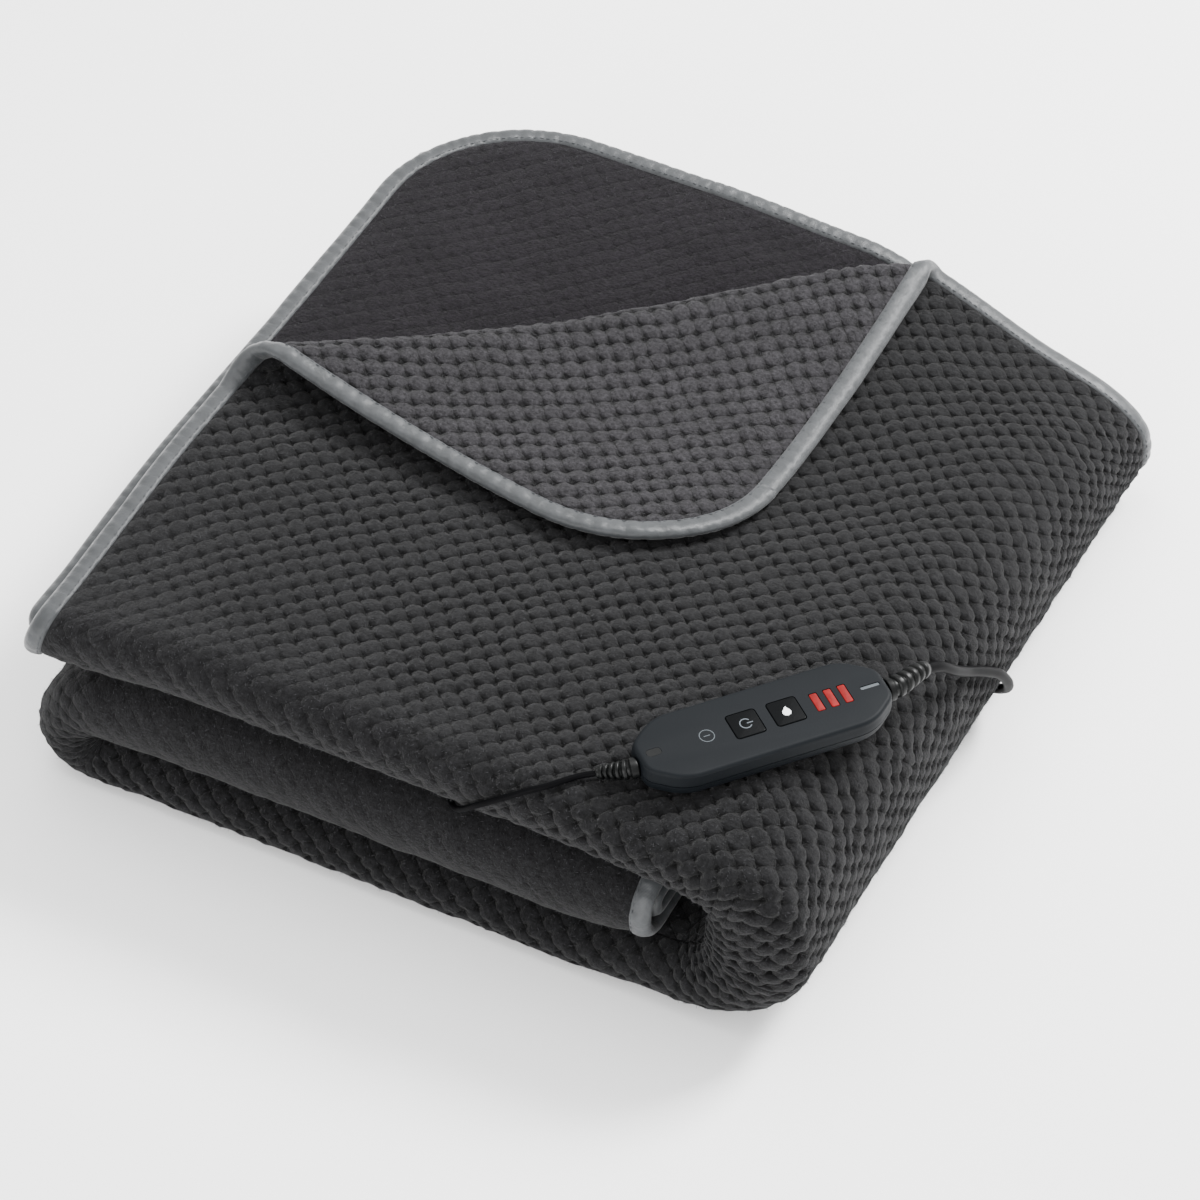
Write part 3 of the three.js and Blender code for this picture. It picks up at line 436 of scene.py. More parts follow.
def mesh_object(name, points, faces, uv=None, attributes=None, materials=(), slots=None):
    """A smooth mesh object from arrays: points in millimetres, faces all with equal corners."""
    faces = np.asarray(faces, dtype=np.int32)
    corners = faces.shape[1]
    mesh = bpy.data.meshes.new(name)
    mesh.vertices.add(len(points))
    mesh.vertices.foreach_set("co", (np.asarray(points) * MM).astype(np.float32).ravel())
    mesh.loops.add(faces.size)
    mesh.loops.foreach_set("vertex_index", faces.ravel())
    mesh.polygons.add(len(faces))
    mesh.polygons.foreach_set("loop_start", np.arange(len(faces), dtype=np.int32) * corners)
    mesh.polygons.foreach_set("use_smooth", np.ones(len(faces), dtype=bool))
    for material in materials:
        mesh.materials.append(material)
    if slots is not None:
        mesh.polygons.foreach_set("material_index", np.asarray(slots, dtype=np.int32))
    mesh.update(calc_edges=True)
    if uv is not None:
        layer = mesh.uv_layers.new(name="pattern")
        layer.data.foreach_set("uv", uv[faces.ravel()].astype(np.float32).ravel())
    for key, values in (attributes or {}).items():
        attribute = mesh.attributes.new(key, "FLOAT", "POINT")
        attribute.data.foreach_set("value", values.astype(np.float32))
    mesh.validate()
    return linked(name, mesh)


def sheet_part(us, vs):
    """A closed stretch of cloth over a grid of its flat pattern, trimmed to its outline."""
    grid_u, grid_v = np.meshgrid(us, vs, indexing="ij")
    ease_u = slope_of(us - us[0], WANDER_EASE) * slope_of(us[-1] - us, WANDER_EASE)
    ease_v = slope_of(vs - vs[0], WANDER_EASE) * slope_of(vs[-1] - vs, WANDER_EASE)
    ease = ease_u[:, None] * ease_v[None, :]
    u = grid_u + ease * layered(WANDER_U, grid_u, grid_v)
    v = grid_v + ease * layered(WANDER_V, grid_u, grid_v)
    middle_u = (us[:-1, None] + us[1:, None]) / 2 + 0 * vs[None, :-1]
    middle_v = (vs[None, :-1] + vs[None, 1:]) / 2 + 0 * us[:-1, None]
    keep = inside_edge(middle_u, middle_v) > -HALF_T
    count_u, count_v = grid_u.shape
    number = np.arange(count_u * count_v).reshape(count_u, count_v)
    a, b = number[:-1, :-1], number[:-1, 1:]
    c, d = number[1:, 1:], number[1:, :-1]
    outer = np.stack([a, b, c, d], axis=-1)[keep]
    total = number.size
    inner = outer[:, ::-1] + total
    padded = np.pad(keep, 1)
    rims = []
    for first, second, neighbour in (
        (a, b, padded[:-2, 1:-1]),
        (b, c, padded[1:-1, 2:]),
        (c, d, padded[2:, 1:-1]),
        (d, a, padded[1:-1, :-2]),
    ):
        edge = keep & ~neighbour
        p, q = first[edge], second[edge]
        rims.append(np.stack([q, p, p + total, q + total], axis=-1))
    faces = np.concatenate([outer, inner, *rims])
    strengths = [emboss_outer(u, v), emboss_inner(u, v)]
    relief_u = np.interp(grid_u, *WIDTH_REACH)
    relief_v = np.interp(grid_v, *LENGTH_REACH)
    points = []
    for side, strength in zip((1, -1), strengths):
        points.append(face_points(u, v, relief_u, relief_v, side, strength).reshape(-1, 3))
    cells = np.stack([relief_u + relief_v, relief_u - relief_v], axis=-1) / (2 * HALF_DIAGONAL)
    uv = np.concatenate([cells.reshape(-1, 2)] * 2)
    emboss = np.concatenate([s.ravel() for s in strengths])
    tone = np.concatenate([np.zeros(total), np.where(v < ACROSS_AT[2], 1.0, 0.0).ravel()])
    flat_v = np.concatenate([grid_v.ravel()] * 2)
    inner_face = faces.min(axis=1) >= total
    short = inner_face & (flat_v[faces].mean(axis=1) > ACROSS_AT[2])
    used, compact = np.unique(faces, return_inverse=True)
    return {
        "points": np.concatenate(points)[used],
        "faces": compact.reshape(faces.shape),
        "uv": uv[used],
        "emboss": emboss[used],
        "tone": tone[used],
        "slots": short.astype(int),
    }


def joined(parts):
    offsets = np.cumsum([0, *[len(part["points"]) for part in parts]])
    out = {key: np.concatenate([part[key] for part in parts]) for key in parts[0] if key != "faces"}
    out["faces"] = np.concatenate([part["faces"] + at for part, at in zip(parts, offsets)])
    return out


def lines(stops):
    """Grid lines through stops, each with the step that leads to the next."""
    out = []
    for (start, step), (end, _) in zip(stops, stops[1:]):
        count = max(1, round((end - start) / step))
        out.append(np.linspace(start, end, count, endpoint=False))
    return np.concatenate([*out, [stops[-1][0]]])


# Materials: how many pattern features there are in a metre of the piece, or in one pillow.
TUFTS_PER_M = 480.0
CLOUDS_PER_M = 26.0
WANDER_PER_PILLOW = 0.9
PATCHES_PER_PILLOW = 0.7
TAPE_CREASES_PER_M = 130.0
MOULD_GRAIN_PER_M = 900.0
WEAVE_PER_M = 2500.0
HANDLING_WEAR_PER_M = 60.0
WINDOW_SPECKS_PER_M = 300.0
# contrasts of noise that lies round 0.5, which is the value that changes nothing
TUFT_CONTRAST = 4.4
CLOUD_CONTRAST = 0.5
PATCH_CONTRAST = 1.6
GRAIN_CONTRAST = 0.2
WEAR_SPREAD = 0.16
# the embossing in the material: how sharp its pits and grooves are, and how dark a hollow gets;
# the hollows' darkening is painted shade, and the crowns' lift is painted light
PATTERN_WANDER = 0.11
PIT_SHARPNESS, PIT_GAIN = 1.25, 2.5
GROOVE_SHARPNESS, GROOVE_SHARE = 4.0, 0.45
PAINTED_CROWN_LIGHT, PAINTED_HOLLOW_SHADE = 1.12, 0.9


def linear(hex_colour):
    """An sRGB hex colour as linear values."""
    out = []
    for k in (1, 3, 5):
        c = int(hex_colour[k : k + 2], 16) / 255
        out.append(c / 12.92 if c <= 0.04045 else ((c + 0.055) / 1.055) ** 2.4)
    return (*out, 1.0)


def add_node(tree, kind, links=None, **settings):
    """Adds a node, sets it and fills its sockets. A node given to a socket is its first output."""
    node = tree.nodes.new(kind)
    for key, value in settings.items():
        setattr(node, key, value)
    for socket, value in (links or {}).items():
        if isinstance(value, bpy.types.Node):
            value = value.outputs[0]
        if isinstance(value, bpy.types.NodeSocket):
            tree.links.new(value, node.inputs[socket])
        else:
            node.inputs[socket].default_value = value
    return node


def new_material(name):
    material = bpy.data.materials.new(name)
    material.use_nodes = True
    tree = material.node_tree
    tree.nodes.clear()
    shader = add_node(tree, "ShaderNodeBsdfPrincipled")
    add_node(tree, "ShaderNodeOutputMaterial", {"Surface": shader})
    return material, tree, shader


def worked_out(tree, steps, kind="ShaderNodeMath"):
    """Chains arithmetic: each step's operation with its values, None for the step before."""
    last = None
    for operation, *values in steps:
        sockets = {k: last if value is None else value for k, value in enumerate(values)}
        last = add_node(tree, kind, sockets, operation=operation)
    return last


def pattern_hollows(tree, pattern, strength):
    """The embossing's pits and grooves over the pattern's cells, as two shares of full depth."""
    wander = add_node(
        tree, "ShaderNodeTexNoise", {"Vector": pattern, "Scale": WANDER_PER_PILLOW, "Detail": 2.0}
    )
    cell = worked_out(
        tree,
        [
            ("MULTIPLY_ADD", wander.outputs["Color"], (2 * PATTERN_WANDER,) * 3, (-PATTERN_WANDER,) * 3),
            ("ADD", pattern, None),
        ],
        "ShaderNodeVectorMath",
    )
    apart = add_node(tree, "ShaderNodeSeparateXYZ", {0: cell})
    near_a, near_b = (
        worked_out(
            tree,
            [
                ("MULTIPLY", apart.outputs[axis], math.pi),
                ("SINE", None),
                ("ABSOLUTE", None),
                ("SUBTRACT", 1.0, None),
            ],
        )
        for axis in (0, 1)
    )
    patchy = add_node(
        tree, "ShaderNodeTexNoise", {"Vector": pattern, "Scale": PATCHES_PER_PILLOW, "Detail": 1.0}
    )
    uneven = worked_out(tree, [("MULTIPLY_ADD", patchy, PATCH_CONTRAST, 1 - PATCH_CONTRAST / 2)])
    pit = worked_out(
        tree,
        [
            ("MULTIPLY", near_a, near_b),
            ("POWER", None, PIT_SHARPNESS),
            ("MULTIPLY", None, PIT_GAIN),
            ("MINIMUM", None, 1.0),
            ("MULTIPLY", None, uneven),
            ("MULTIPLY", None, strength),
        ],
    )
    groove = worked_out(
        tree,
        [
            ("MAXIMUM", near_a, near_b),
            ("POWER", None, GROOVE_SHARPNESS),
            ("MULTIPLY", None, strength),
        ],
    )
    return pit, groove


def fleece(name, dark, light, sheen):
    """Brushed polyester fleece, embossed by a hot roller.

    The eye sees soft, matt cloth, darker in its pits and grooves by painted shade, a little
    lighter on the pillows' crowns by painted light, mottled by tufts whose dark low spots are
    partly painted shade, with a faint bright rim where the hairs stand up. The tone attribute
    leads from the dark to the light colour.
    """
    material, tree, shader = new_material(name)
    pattern = add_node(tree, "ShaderNodeUVMap", uv_map="pattern")
    place_of = add_node(tree, "ShaderNodeTexCoord").outputs["Object"]
    strength = add_node(tree, "ShaderNodeAttribute", attribute_name="emboss").outputs["Fac"]
    tone = add_node(tree, "ShaderNodeAttribute", attribute_name="tone").outputs["Fac"]
    pit, groove = pattern_hollows(tree, pattern, strength)
    hollow = worked_out(tree, [("MULTIPLY_ADD", groove, GROOVE_SHARE, pit)])
    # the hairs stand in tufts of about 2 mm, drawn coarser than they are so that they show
    tufts = add_node(
        tree,
        "ShaderNodeTexNoise",
        {"Vector": place_of, "Scale": TUFTS_PER_M, "Detail": 4.0, "Roughness": 0.8},
    )
    cloudy = add_node(
        tree, "ShaderNodeTexNoise", {"Vector": place_of, "Scale": CLOUDS_PER_M, "Detail": 3.0}
    )
    sunk = worked_out(tree, [("MULTIPLY", hollow, -1.0)])
    embossing = add_node(
        tree, "ShaderNodeBump", {"Height": sunk, "Distance": 1.4 * MM, "Strength": 0.9}
    )
    pile = add_node(
        tree,
        "ShaderNodeBump",
        {"Height": tufts, "Distance": 1.6 * MM, "Strength": 0.8, "Normal": embossing},
    )
    own = add_node(
        tree, "ShaderNodeMix", {0: tone, 6: linear(dark), 7: linear(light)}, data_type="RGBA"
    )
    # the tufts' mottle follows the pile's bump height: partly random tone, partly painted shade in the
    # low spots between the tufts and painted light on their tops
    tuft_tone_and_shade = worked_out(tree, [("MULTIPLY_ADD", tufts, TUFT_CONTRAST, 1 - TUFT_CONTRAST / 2)])
    # painted shade in the pits and grooves, and painted light on the pillows' crowns between them
    shade = worked_out(
        tree,
        [("MINIMUM", hollow, 1.0), ("MULTIPLY_ADD", None, -PAINTED_HOLLOW_SHADE, PAINTED_CROWN_LIGHT)],
    )
    mottle_and_painted_shade = worked_out(
        tree,
        [
            ("MULTIPLY_ADD", cloudy, CLOUD_CONTRAST, 1 - CLOUD_CONTRAST / 2),
            ("MULTIPLY", None, tuft_tone_and_shade),
            ("MULTIPLY", None, shade),
        ],
    )
    grey = add_node(tree, "ShaderNodeCombineColor", {k: mottle_and_painted_shade for k in (0, 1, 2)})
    colour = add_node(
        tree,
        "ShaderNodeMix",
        {0: 1.0, 6: own.outputs[2], 7: grey},
        data_type="RGBA",
        blend_type="MULTIPLY",
    )
    tree.links.new(colour.outputs[2], shader.inputs["Base Color"])
    tree.links.new(pile.outputs[0], shader.inputs["Normal"])
    shader.inputs["Roughness"].default_value = 0.95
    shader.inputs["Specular IOR Level"].default_value = 0.1
    shader.inputs["Sheen Weight"].default_value = sheen
    shader.inputs["Sheen Roughness"].default_value = 0.45
    return material


def satin_tape():
    """Woven polyester satin: smooth, with a soft sheen, creased where the tape is gathered."""
    material, tree, shader = new_material("grey_satin_tape")
    pattern = add_node(tree, "ShaderNodeUVMap", uv_map="pattern")
    place_of = add_node(tree, "ShaderNodeTexCoord").outputs["Object"]
    # threads of 0.5 mm across the tape
    threads = add_node(
        tree,
        "ShaderNodeTexWave",
        {"Vector": pattern, "Scale": 6.0, "Distortion": 0.6, "Detail": 1.0},
        bands_direction="X",
    )
    creases = add_node(
        tree, "ShaderNodeTexNoise", {"Vector": place_of, "Scale": TAPE_CREASES_PER_M, "Detail": 3.0}
    )
    ribs = add_node(
        tree,
        "ShaderNodeBump",
        {"Height": threads.outputs["Fac"], "Distance": 0.1 * MM, "Strength": 0.5},
    )
    folds = add_node(
        tree,
        "ShaderNodeBump",
        {"Height": creases, "Distance": 1.6 * MM, "Strength": 0.6, "Normal": ribs},
    )
    # painted shade in the creases' hollows and painted light on their crests: the colour follows the
    # same noise that bumps them
    colour = add_node(
        tree,
        "ShaderNodeMix",
        {0: creases.outputs["Fac"], 6: linear("#222425"), 7: linear("#3c3e40")},
        data_type="RGBA",
    )
    tree.links.new(colour.outputs[2], shader.inputs["Base Color"])
    tree.links.new(folds.outputs[0], shader.inputs["Normal"])
    shader.inputs["Roughness"].default_value = 0.42
    shader.inputs["Specular IOR Level"].default_value = 0.3
    shader.inputs["Sheen Weight"].default_value = 0.1
    return material


def moulded(name, colour, roughness, grain=0.06, specular=0.5, grains_per_m=MOULD_GRAIN_PER_M):
    """Moulded plastic or rubber: an even colour under a fine grain, worn a little unevenly."""
    material, tree, shader = new_material(name)
    place_of = add_node(tree, "ShaderNodeTexCoord").outputs["Object"]
    speck = add_node(
        tree, "ShaderNodeTexNoise", {"Vector": place_of, "Scale": grains_per_m, "Detail": 2.0}
    )
    wear = add_node(
        tree, "ShaderNodeTexNoise", {"Vector": place_of, "Scale": HANDLING_WEAR_PER_M, "Detail": 4.0}
    )
    bump = add_node(
        tree, "ShaderNodeBump", {"Height": speck, "Distance": grain * MM, "Strength": 0.6}
    )
    rough = worked_out(tree, [("MULTIPLY_ADD", wear, WEAR_SPREAD, roughness - WEAR_SPREAD / 2)])
    shade = worked_out(tree, [("MULTIPLY_ADD", speck, GRAIN_CONTRAST, 1 - GRAIN_CONTRAST / 2)])
    grey = add_node(tree, "ShaderNodeCombineColor", {k: shade for k in (0, 1, 2)})
    tinted = add_node(
        tree,
        "ShaderNodeMix",
        {0: 1.0, 6: linear(colour), 7: grey},
        data_type="RGBA",
        blend_type="MULTIPLY",
    )
    tree.links.new(tinted.outputs[2], shader.inputs["Base Color"])
    tree.links.new(rough.outputs[0], shader.inputs["Roughness"])
    tree.links.new(bump.outputs[0], shader.inputs["Normal"])
    shader.inputs["Specular IOR Level"].default_value = specular
    return material


def lit_window():
    """A red polycarbonate window over a small lamp: a dim even glow, a little blotchy."""
    material, tree, shader = new_material("lit_red_window")
    place_of = add_node(tree, "ShaderNodeTexCoord").outputs["Object"]
    speck = add_node(tree, "ShaderNodeTexNoise", {"Vector": place_of, "Scale": WINDOW_SPECKS_PER_M})
    colour = add_node(
        tree,
        "ShaderNodeMix",
        {0: speck.outputs["Fac"], 6: linear("#4a0808"), 7: linear("#7d1414")},
        data_type="RGBA",
    )
    tree.links.new(colour.outputs[2], shader.inputs["Base Color"])
    tree.links.new(colour.outputs[2], shader.inputs["Emission Color"])
    shader.inputs["Emission Strength"].default_value = 0.18
    shader.inputs["Roughness"].default_value = 0.5
    shader.inputs["Specular IOR Level"].default_value = 0.1
    return material


def nickel_plate():
    """Nickel-plated brass pins: bright metal with sharp reflections."""
    material = moulded("bright_nickel_plate", "#c9cacc", 0.22, grain=0.01)
    material.node_tree.nodes["Principled BSDF"].inputs["Metallic"].default_value = 1.0
    return material


FLEECE = fleece("embossed_charcoal_fleece", "#111112", "#222123", 0.06)
SHORT_PILE = fleece("short_pile_fleece", "#0f0d10", "#0f0d10", 0.05)
TAPE = satin_tape()
# spark-eroded ABS housing: dark slate, matt, with soft highlights along its edges
SHELL_PLASTIC = moulded("matte_slate_plastic", "#0a0d10", 0.58, specular=0.09)
# smoother ABS keys: nearly black, with a tighter highlight
KEY_PLASTIC = moulded("dark_satin_key_plastic", "#030405", 0.4, specular=0.05)
# soft PVC sleeves: black, with small highlights on their ribs
# the same black also fills the oval recess on the control as painted shade
RUBBER_AND_OVAL_SHADE = moulded("black_moulded_rubber_and_painted_shade", "#060707", 0.4, specular=0.16)
# extruded PVC round the wires: dull black without a grain
LEAD_JACKET = moulded("black_lead_jacket", "#040405", 0.5, grain=0.01, specular=0.03)
# woven nylon strap: rough, with the weave's coarse texture
STRAP = moulded("black_woven_strap", "#1b1b1c", 0.85, grain=0.3, grains_per_m=WEAVE_PER_M)
# hard PVC plug: black, with a clear highlight
PLUG_PLASTIC = moulded("black_plug_plastic", "#151618", 0.4)
PIN_METAL = nickel_plate()
# pad-printed inks: flat, even greys and white
PRINT_GREY = moulded("grey_print_ink", "#3a4148", 0.5)
PRINT_WHITE = moulded("white_print_ink", "#dfe2e4", 0.5)
# the faint grey is also the pale inlay in the slot near one end, a painted highlight
FAINT_PRINT_AND_SLOT_HIGHLIGHT = moulded("faint_print_ink_and_painted_highlight", "#30373c", 0.5)
WINDOW = lit_window()
# polyester fibres and thread: paler than the cloth, so that single ones show on it; on the fibres
# this paleness is painted sheen, where the hairs catch the light
FIBRE_WITH_PAINTED_SHEEN = moulded("polyester_fibre_painted_sheen", "#38383a", 0.9, grain=0.01, specular=0.1)
THREAD = moulded("grey_sewing_thread", "#3a3c3e", 0.7, grain=0.1, specular=0.2)


# Camera, lights and floor.
WORLD_STRENGTH = 1.55
FLOOR_HALF = 6.0

azimuth, elevation = math.radians(CAMERA_AZIMUTH), math.radians(CAMERA_ELEVATION)
backwards = Vector(
    (
        math.cos(elevation) * math.sin(azimuth),
        -math.cos(elevation) * math.cos(azimuth),
        math.sin(elevation),
    )
)
camera = linked("camera", bpy.data.cameras.new("camera"))
camera.data.lens = CAMERA_LENS
camera.data.sensor_width = 36
camera.data.clip_end = 50
camera.location = CAMERA_TARGET + backwards * CAMERA_DISTANCE
camera.rotation_euler = backwards.to_track_quat("Z", "Y").to_euler()
bpy.context.scene.camera = camera


def area_light(name, location, size, energy):
    """A square white light that looks at the middle of the floor."""
    light = bpy.data.lights.new(name, "AREA")
    light.shape = "SQUARE"
    light.size = size
    light.energy = energy
    made = linked(name, light)
    made.location = location
    made.rotation_euler = Vector(location).to_track_quat("Z", "Y").to_euler()


area_light("key_light", (1.0, 1.5, 1.9), size=0.8, energy=200)
area_light("top_light", (-0.6, 0.2, 2.4), size=2.0, energy=42)
area_light("front_fill", (0.2, -2.4, 0.9), size=1.6, energy=62)
world = bpy.data.worlds.new("soft_studio")
world.use_nodes = True
world.node_tree.nodes["Background"].inputs["Color"].default_value = (1, 1, 1, 1)
world.node_tree.nodes["Background"].inputs["Strength"].default_value = WORLD_STRENGTH
bpy.context.scene.world = world

floor_corners = [(x * FLOOR_HALF, y * FLOOR_HALF, 0) for x, y in ((-1, -1), (1, -1), (1, 1), (-1, 1))]
floor_mesh = bpy.data.meshes.new("floor")
floor_mesh.from_pydata(floor_corners, [], [(0, 1, 2, 3)])
floor_material, _, floor_shader = new_material("pale_studio_floor")
floor_shader.inputs["Base Color"].default_value = linear("#fafafa")
floor_shader.inputs["Roughness"].default_value = 0.9
floor_mesh.materials.append(floor_material)
linked("floor", floor_mesh)


# The two leads.
CONTROL_LEAD_D = 3.2
MAINS_LEAD_D = 5.6
COIL_AT = (-45.0, 280.8)
COIL_LIFT = 1.5
COIL_SLOTS = [21.1, 26.7, 32.3, 37.9]
CONTROL_LEAD_ROUTE = [
    (96.7, -207.2, 123.8), (90.3, -211.1, 122.6), (84.2, -217.2, 122), (77.8, -222.9, 120.4),
    (70.8, -227, 118.1), (63.1, -230.8, 114.1), (55, -233.2, 109), (46.3, -234.4, 102.6),
    (38, -232.6, 94.2), (31, -228.4, 87), (24.5, -221.5, 81.4), (18, -213.5, 80.4),
    (14.2, -204.5, 80.2), (15.2, -196, 80.2), (21, -189.6, 80.2), (32, -186.4, 80.2),
    (50, -186, 80.2), (75, -187, 80), (100, -188.6, 79.7), (118, -190, 79.4),
    (132, -191, 79.1), (141, -191.5, 77.8), (148, -191.7, 74.6), (150.4, -191.8, 69.6),
    (148.2, -191.8, 64.9), (143.6, -191.8, 62.6), (138.5, -191.8, 62.2),
]
MAINS_LEAD_ROUTE = [
    (207.1, -64.4, 116.6), (210.6, -54, 110.6), (212.9, -45.5, 102), (214, -36, 92.5),
    (214.9, -26.5, 84), (216.6, -17.5, 76.8), (218.8, -8.5, 69.2), (220.8, 0.5, 61),
    (222, 8, 51.6), (222, 15, 41), (219.4, 22, 30), (212.6, 29, 19.4),
    (203.4, 36.5, 10.4), (195.4, 46, 4.6), (191, 60, 3.1), (189.8, 85, 3),
    (189.4, 120, 3), (190.4, 155, 3), (192, 185, 3), (192.6, 207, 3),
    (189.4, 225, 3), (179, 240, 3), (161, 248, 3), (135, 250.6, 3),
    (100, 250.8, 3), (65, 249.4, 3), (35, 247.6, 3.3), (8, 245.6, 3.8),
    (-8, 244.6, 4.1), (-20.9, 244.3, 4.3),
]
TAIL_ROUTE = [(-81, 256.6, 9.6), (-86, 258, 9), (-91, 259.1, 8), (-97, 259.3, 7)]
# the coil's turns: where each shift or climb starts and ends, in turns, and what it reaches
COIL_STEPS = [
    {"start": 0.80, "end": 0.95, "slot": 2, "layer": 0},
    {"start": 1.80, "end": 1.95, "slot": 1, "layer": 0},
    {"start": 2.80, "end": 2.95, "slot": 0, "layer": 0},
    {"start": 3.64, "end": 3.78, "slot": 0, "layer": 1},
    {"start": 4.50, "end": 4.64, "slot": 1, "layer": 1},
    {"start": 5.50, "end": 5.64, "slot": 2, "layer": 1},
    {"start": 6.50, "end": 6.64, "slot": 3, "layer": 1},
]
COIL_TURNS = 7.10
COIL_POINTS_PER_TURN = 24


def coil_route():
    out = []
    for k in range(1, int(COIL_TURNS * COIL_POINTS_PER_TURN)):
        turns = k / COIL_POINTS_PER_TURN
        slot, layer = 3.0, 0.0
        for step in COIL_STEPS:
            t = float(smooth((turns - step["start"]) / (step["end"] - step["start"])))
            slot, layer = mix(slot, step["slot"], t), mix(layer, step["layer"], t)
        r = COIL_SLOTS[0] + slot * MAINS_LEAD_D
        angle = -math.pi / 2 - 2 * math.pi * turns
        z = COIL_LIFT + MAINS_LEAD_D * (0.5 + layer)
        out.append((COIL_AT[0] + r * math.cos(angle), COIL_AT[1] + r * math.sin(angle), z))
    return out


def smooth_route(route, per_span):
    """Points on the centripetal curve through a route, as the solids' tubes follow it."""
    p = np.array(route, dtype=float)
    ends = np.vstack([2 * p[0] - p[1], p, 2 * p[-1] - p[-2]])
    out = []
    for k in range(len(p) - 1):
        near = ends[k : k + 4]
        spans = np.linalg.norm(np.diff(near, axis=0), axis=1) ** 0.5
        knots = np.concatenate([[0], np.cumsum(spans)])
        for s in np.arange(per_span) / per_span:
            t = mix(knots[1], knots[2], s)
            points = near
            for reach in (1, 2):
                count = len(points) - 1
                shares = [(t - knots[m]) / (knots[m + reach] - knots[m]) for m in range(count)]
                points = [mix(points[m], points[m + 1], shares[m]) for m in range(count)]
            out.append(mix(*points, (t - knots[1]) / (knots[2] - knots[1])))
    out.append(p[-1])
    return np.array(out)


def polyline(name, points):
    """A curve of straight spans, and its one spline."""
    curve = bpy.data.curves.new(name, "CURVE")
    curve.dimensions = "3D"
    spline = curve.splines.new("POLY")
    spline.points.add(len(points) - 1)
    for point, at in zip(spline.points, points):
        point.co = (*(at * MM), 1)
    return curve, spline


def lead_object(name, points, diameter):
    curve, spline = polyline(name, points)
    curve.bevel_depth = diameter / 2 * MM
    curve.bevel_resolution = 4
    curve.use_fill_caps = True
    spline.use_smooth = True
    curve.materials.append(LEAD_JACKET)
    return linked(name, curve)


control_route = smooth_route(CONTROL_LEAD_ROUTE, 5)
mains_route = smooth_route([*MAINS_LEAD_ROUTE, *coil_route(), *TAIL_ROUTE], 3)
control_lead = lead_object("thin_control_lead", control_route, CONTROL_LEAD_D)
mains_lead = lead_object("coiled_mains_lead", mains_route, MAINS_LEAD_D)


# The cloth: its top piece ends past the right fold's outermost line and below the front roll.
TOP_PIECE_TURN = 1.85
top_reach_u = np.interp(ALONG[0] + TOP_PIECE_TURN * RIGHT_R, *WIDTH_REACH)
top_reach_v = np.interp(ACROSS_AT[2], *LENGTH_REACH)
top_u = np.interp(np.arange(-2, int(top_reach_u / GRID_STEP) + 1) * GRID_STEP, *reversed(WIDTH_REACH))
top_v = np.interp(np.arange(-2, int(top_reach_v / GRID_STEP) + 1) * GRID_STEP, *reversed(LENGTH_REACH))
split_u, split_v = top_u[-1], top_v[-1]
# how far the grid goes past the outline, and the stops with the steps between them
HEM = 4
inner_u = [
    (-HEM, 5),
    (ALONG_AT[1], 4.4),
    (ALONG_AT[2], 10),
    (ALONG_AT[3], 4),
    (ALONG_AT[4], 10),
    (CLOTH_W + HEM, 1),
]
inner_v = [
    (split_v, 11),
    (ACROSS_AT[3], 1.8),
    (ACROSS_AT[4], 11),
    (ACROSS_AT[5], 1.8),
    (ACROSS_AT[6], 5),
    (CLOTH_L + HEM, 1),
]
lower_u = [
    (split_u, 2.2),
    (ALONG_AT[2], 3.4),
    (ALONG_AT[3], 2.6),
    (ALONG_AT[4], 6),
    (CLOTH_W + HEM, 1),
]
FINE_BEFORE_ROLL = 60
lower_v = [(-HEM, 12), (ACROSS_AT[1] - FINE_BEFORE_ROLL, 3.4), (ACROSS_AT[1], 2.4), (split_v, 1)]
top = sheet_part(top_u, top_v)
lower = sheet_part(lines(lower_u), lines(lower_v))
inner = sheet_part(lines(inner_u), lines(inner_v))

# Where the fleece shows from outside, and how dense its fibres are there.
SHOWN = {
    "front": (185, 15, 1),
    "top": (105, 6, 1),
    "right": (195, 10, 1),
    "left": (185, 10, 1),
    "back": (205, 12, 1),
}
SHOWN_DENSITY = 0.62
BARE_BELOW_Z = 5


def shown_share(part):
    """How much of the fibres' full density a spot gets."""
    x, y, z = part["points"].T
    shown = [
        slope_of(-y, SHOWN["front"]),
        slope_of(z, SHOWN["top"]),
        slope_of(x, SHOWN["right"]),
        slope_of(-x, SHOWN["left"]),
        slope_of(y, SHOWN["back"]),
    ]
    return np.maximum.reduce(shown) * SHOWN_DENSITY * (z > BARE_BELOW_Z)


def cloth_object(name, part):
    return mesh_object(
        name,
        part["points"],
        part["faces"],
        part["uv"],
        {"emboss": part["emboss"], "tone": part["tone"], "nap": shown_share(part)},
        (FLEECE, SHORT_PILE),
        part["slots"],
    )


cloth_top = cloth_object("embossed_top_leaf", top)
cloth = cloth_object("folded_fleece", joined([lower, inner]))


# Geometry Nodes trees for the fibres and the stitches.


def tree_with_sizes(name, taken, sizes, given):
    """A new tree that takes a geometry and named sizes, and gives another geometry."""
    tree = bpy.data.node_groups.new(name, "GeometryNodeTree")
    tree.is_modifier = True
    tree.interface.new_socket(taken, in_out="INPUT", socket_type="NodeSocketGeometry")
    for label in sizes:
        tree.interface.new_socket(label, in_out="INPUT", socket_type="NodeSocketFloat")
    tree.interface.new_socket(given, in_out="OUTPUT", socket_type="NodeSocketGeometry")
    return tree, add_node(tree, "NodeGroupInput").outputs


def end_tree(tree, laid, material):
    """Turns laid copies into a real mesh of one material, and gives it out."""
    real = add_node(tree, "GeometryNodeRealizeInstances", {"Geometry": laid})
    done = add_node(tree, "GeometryNodeSetMaterial", {"Geometry": real, "Material": material})
    add_node(tree, "NodeGroupOutput", {0: done})
    return tree


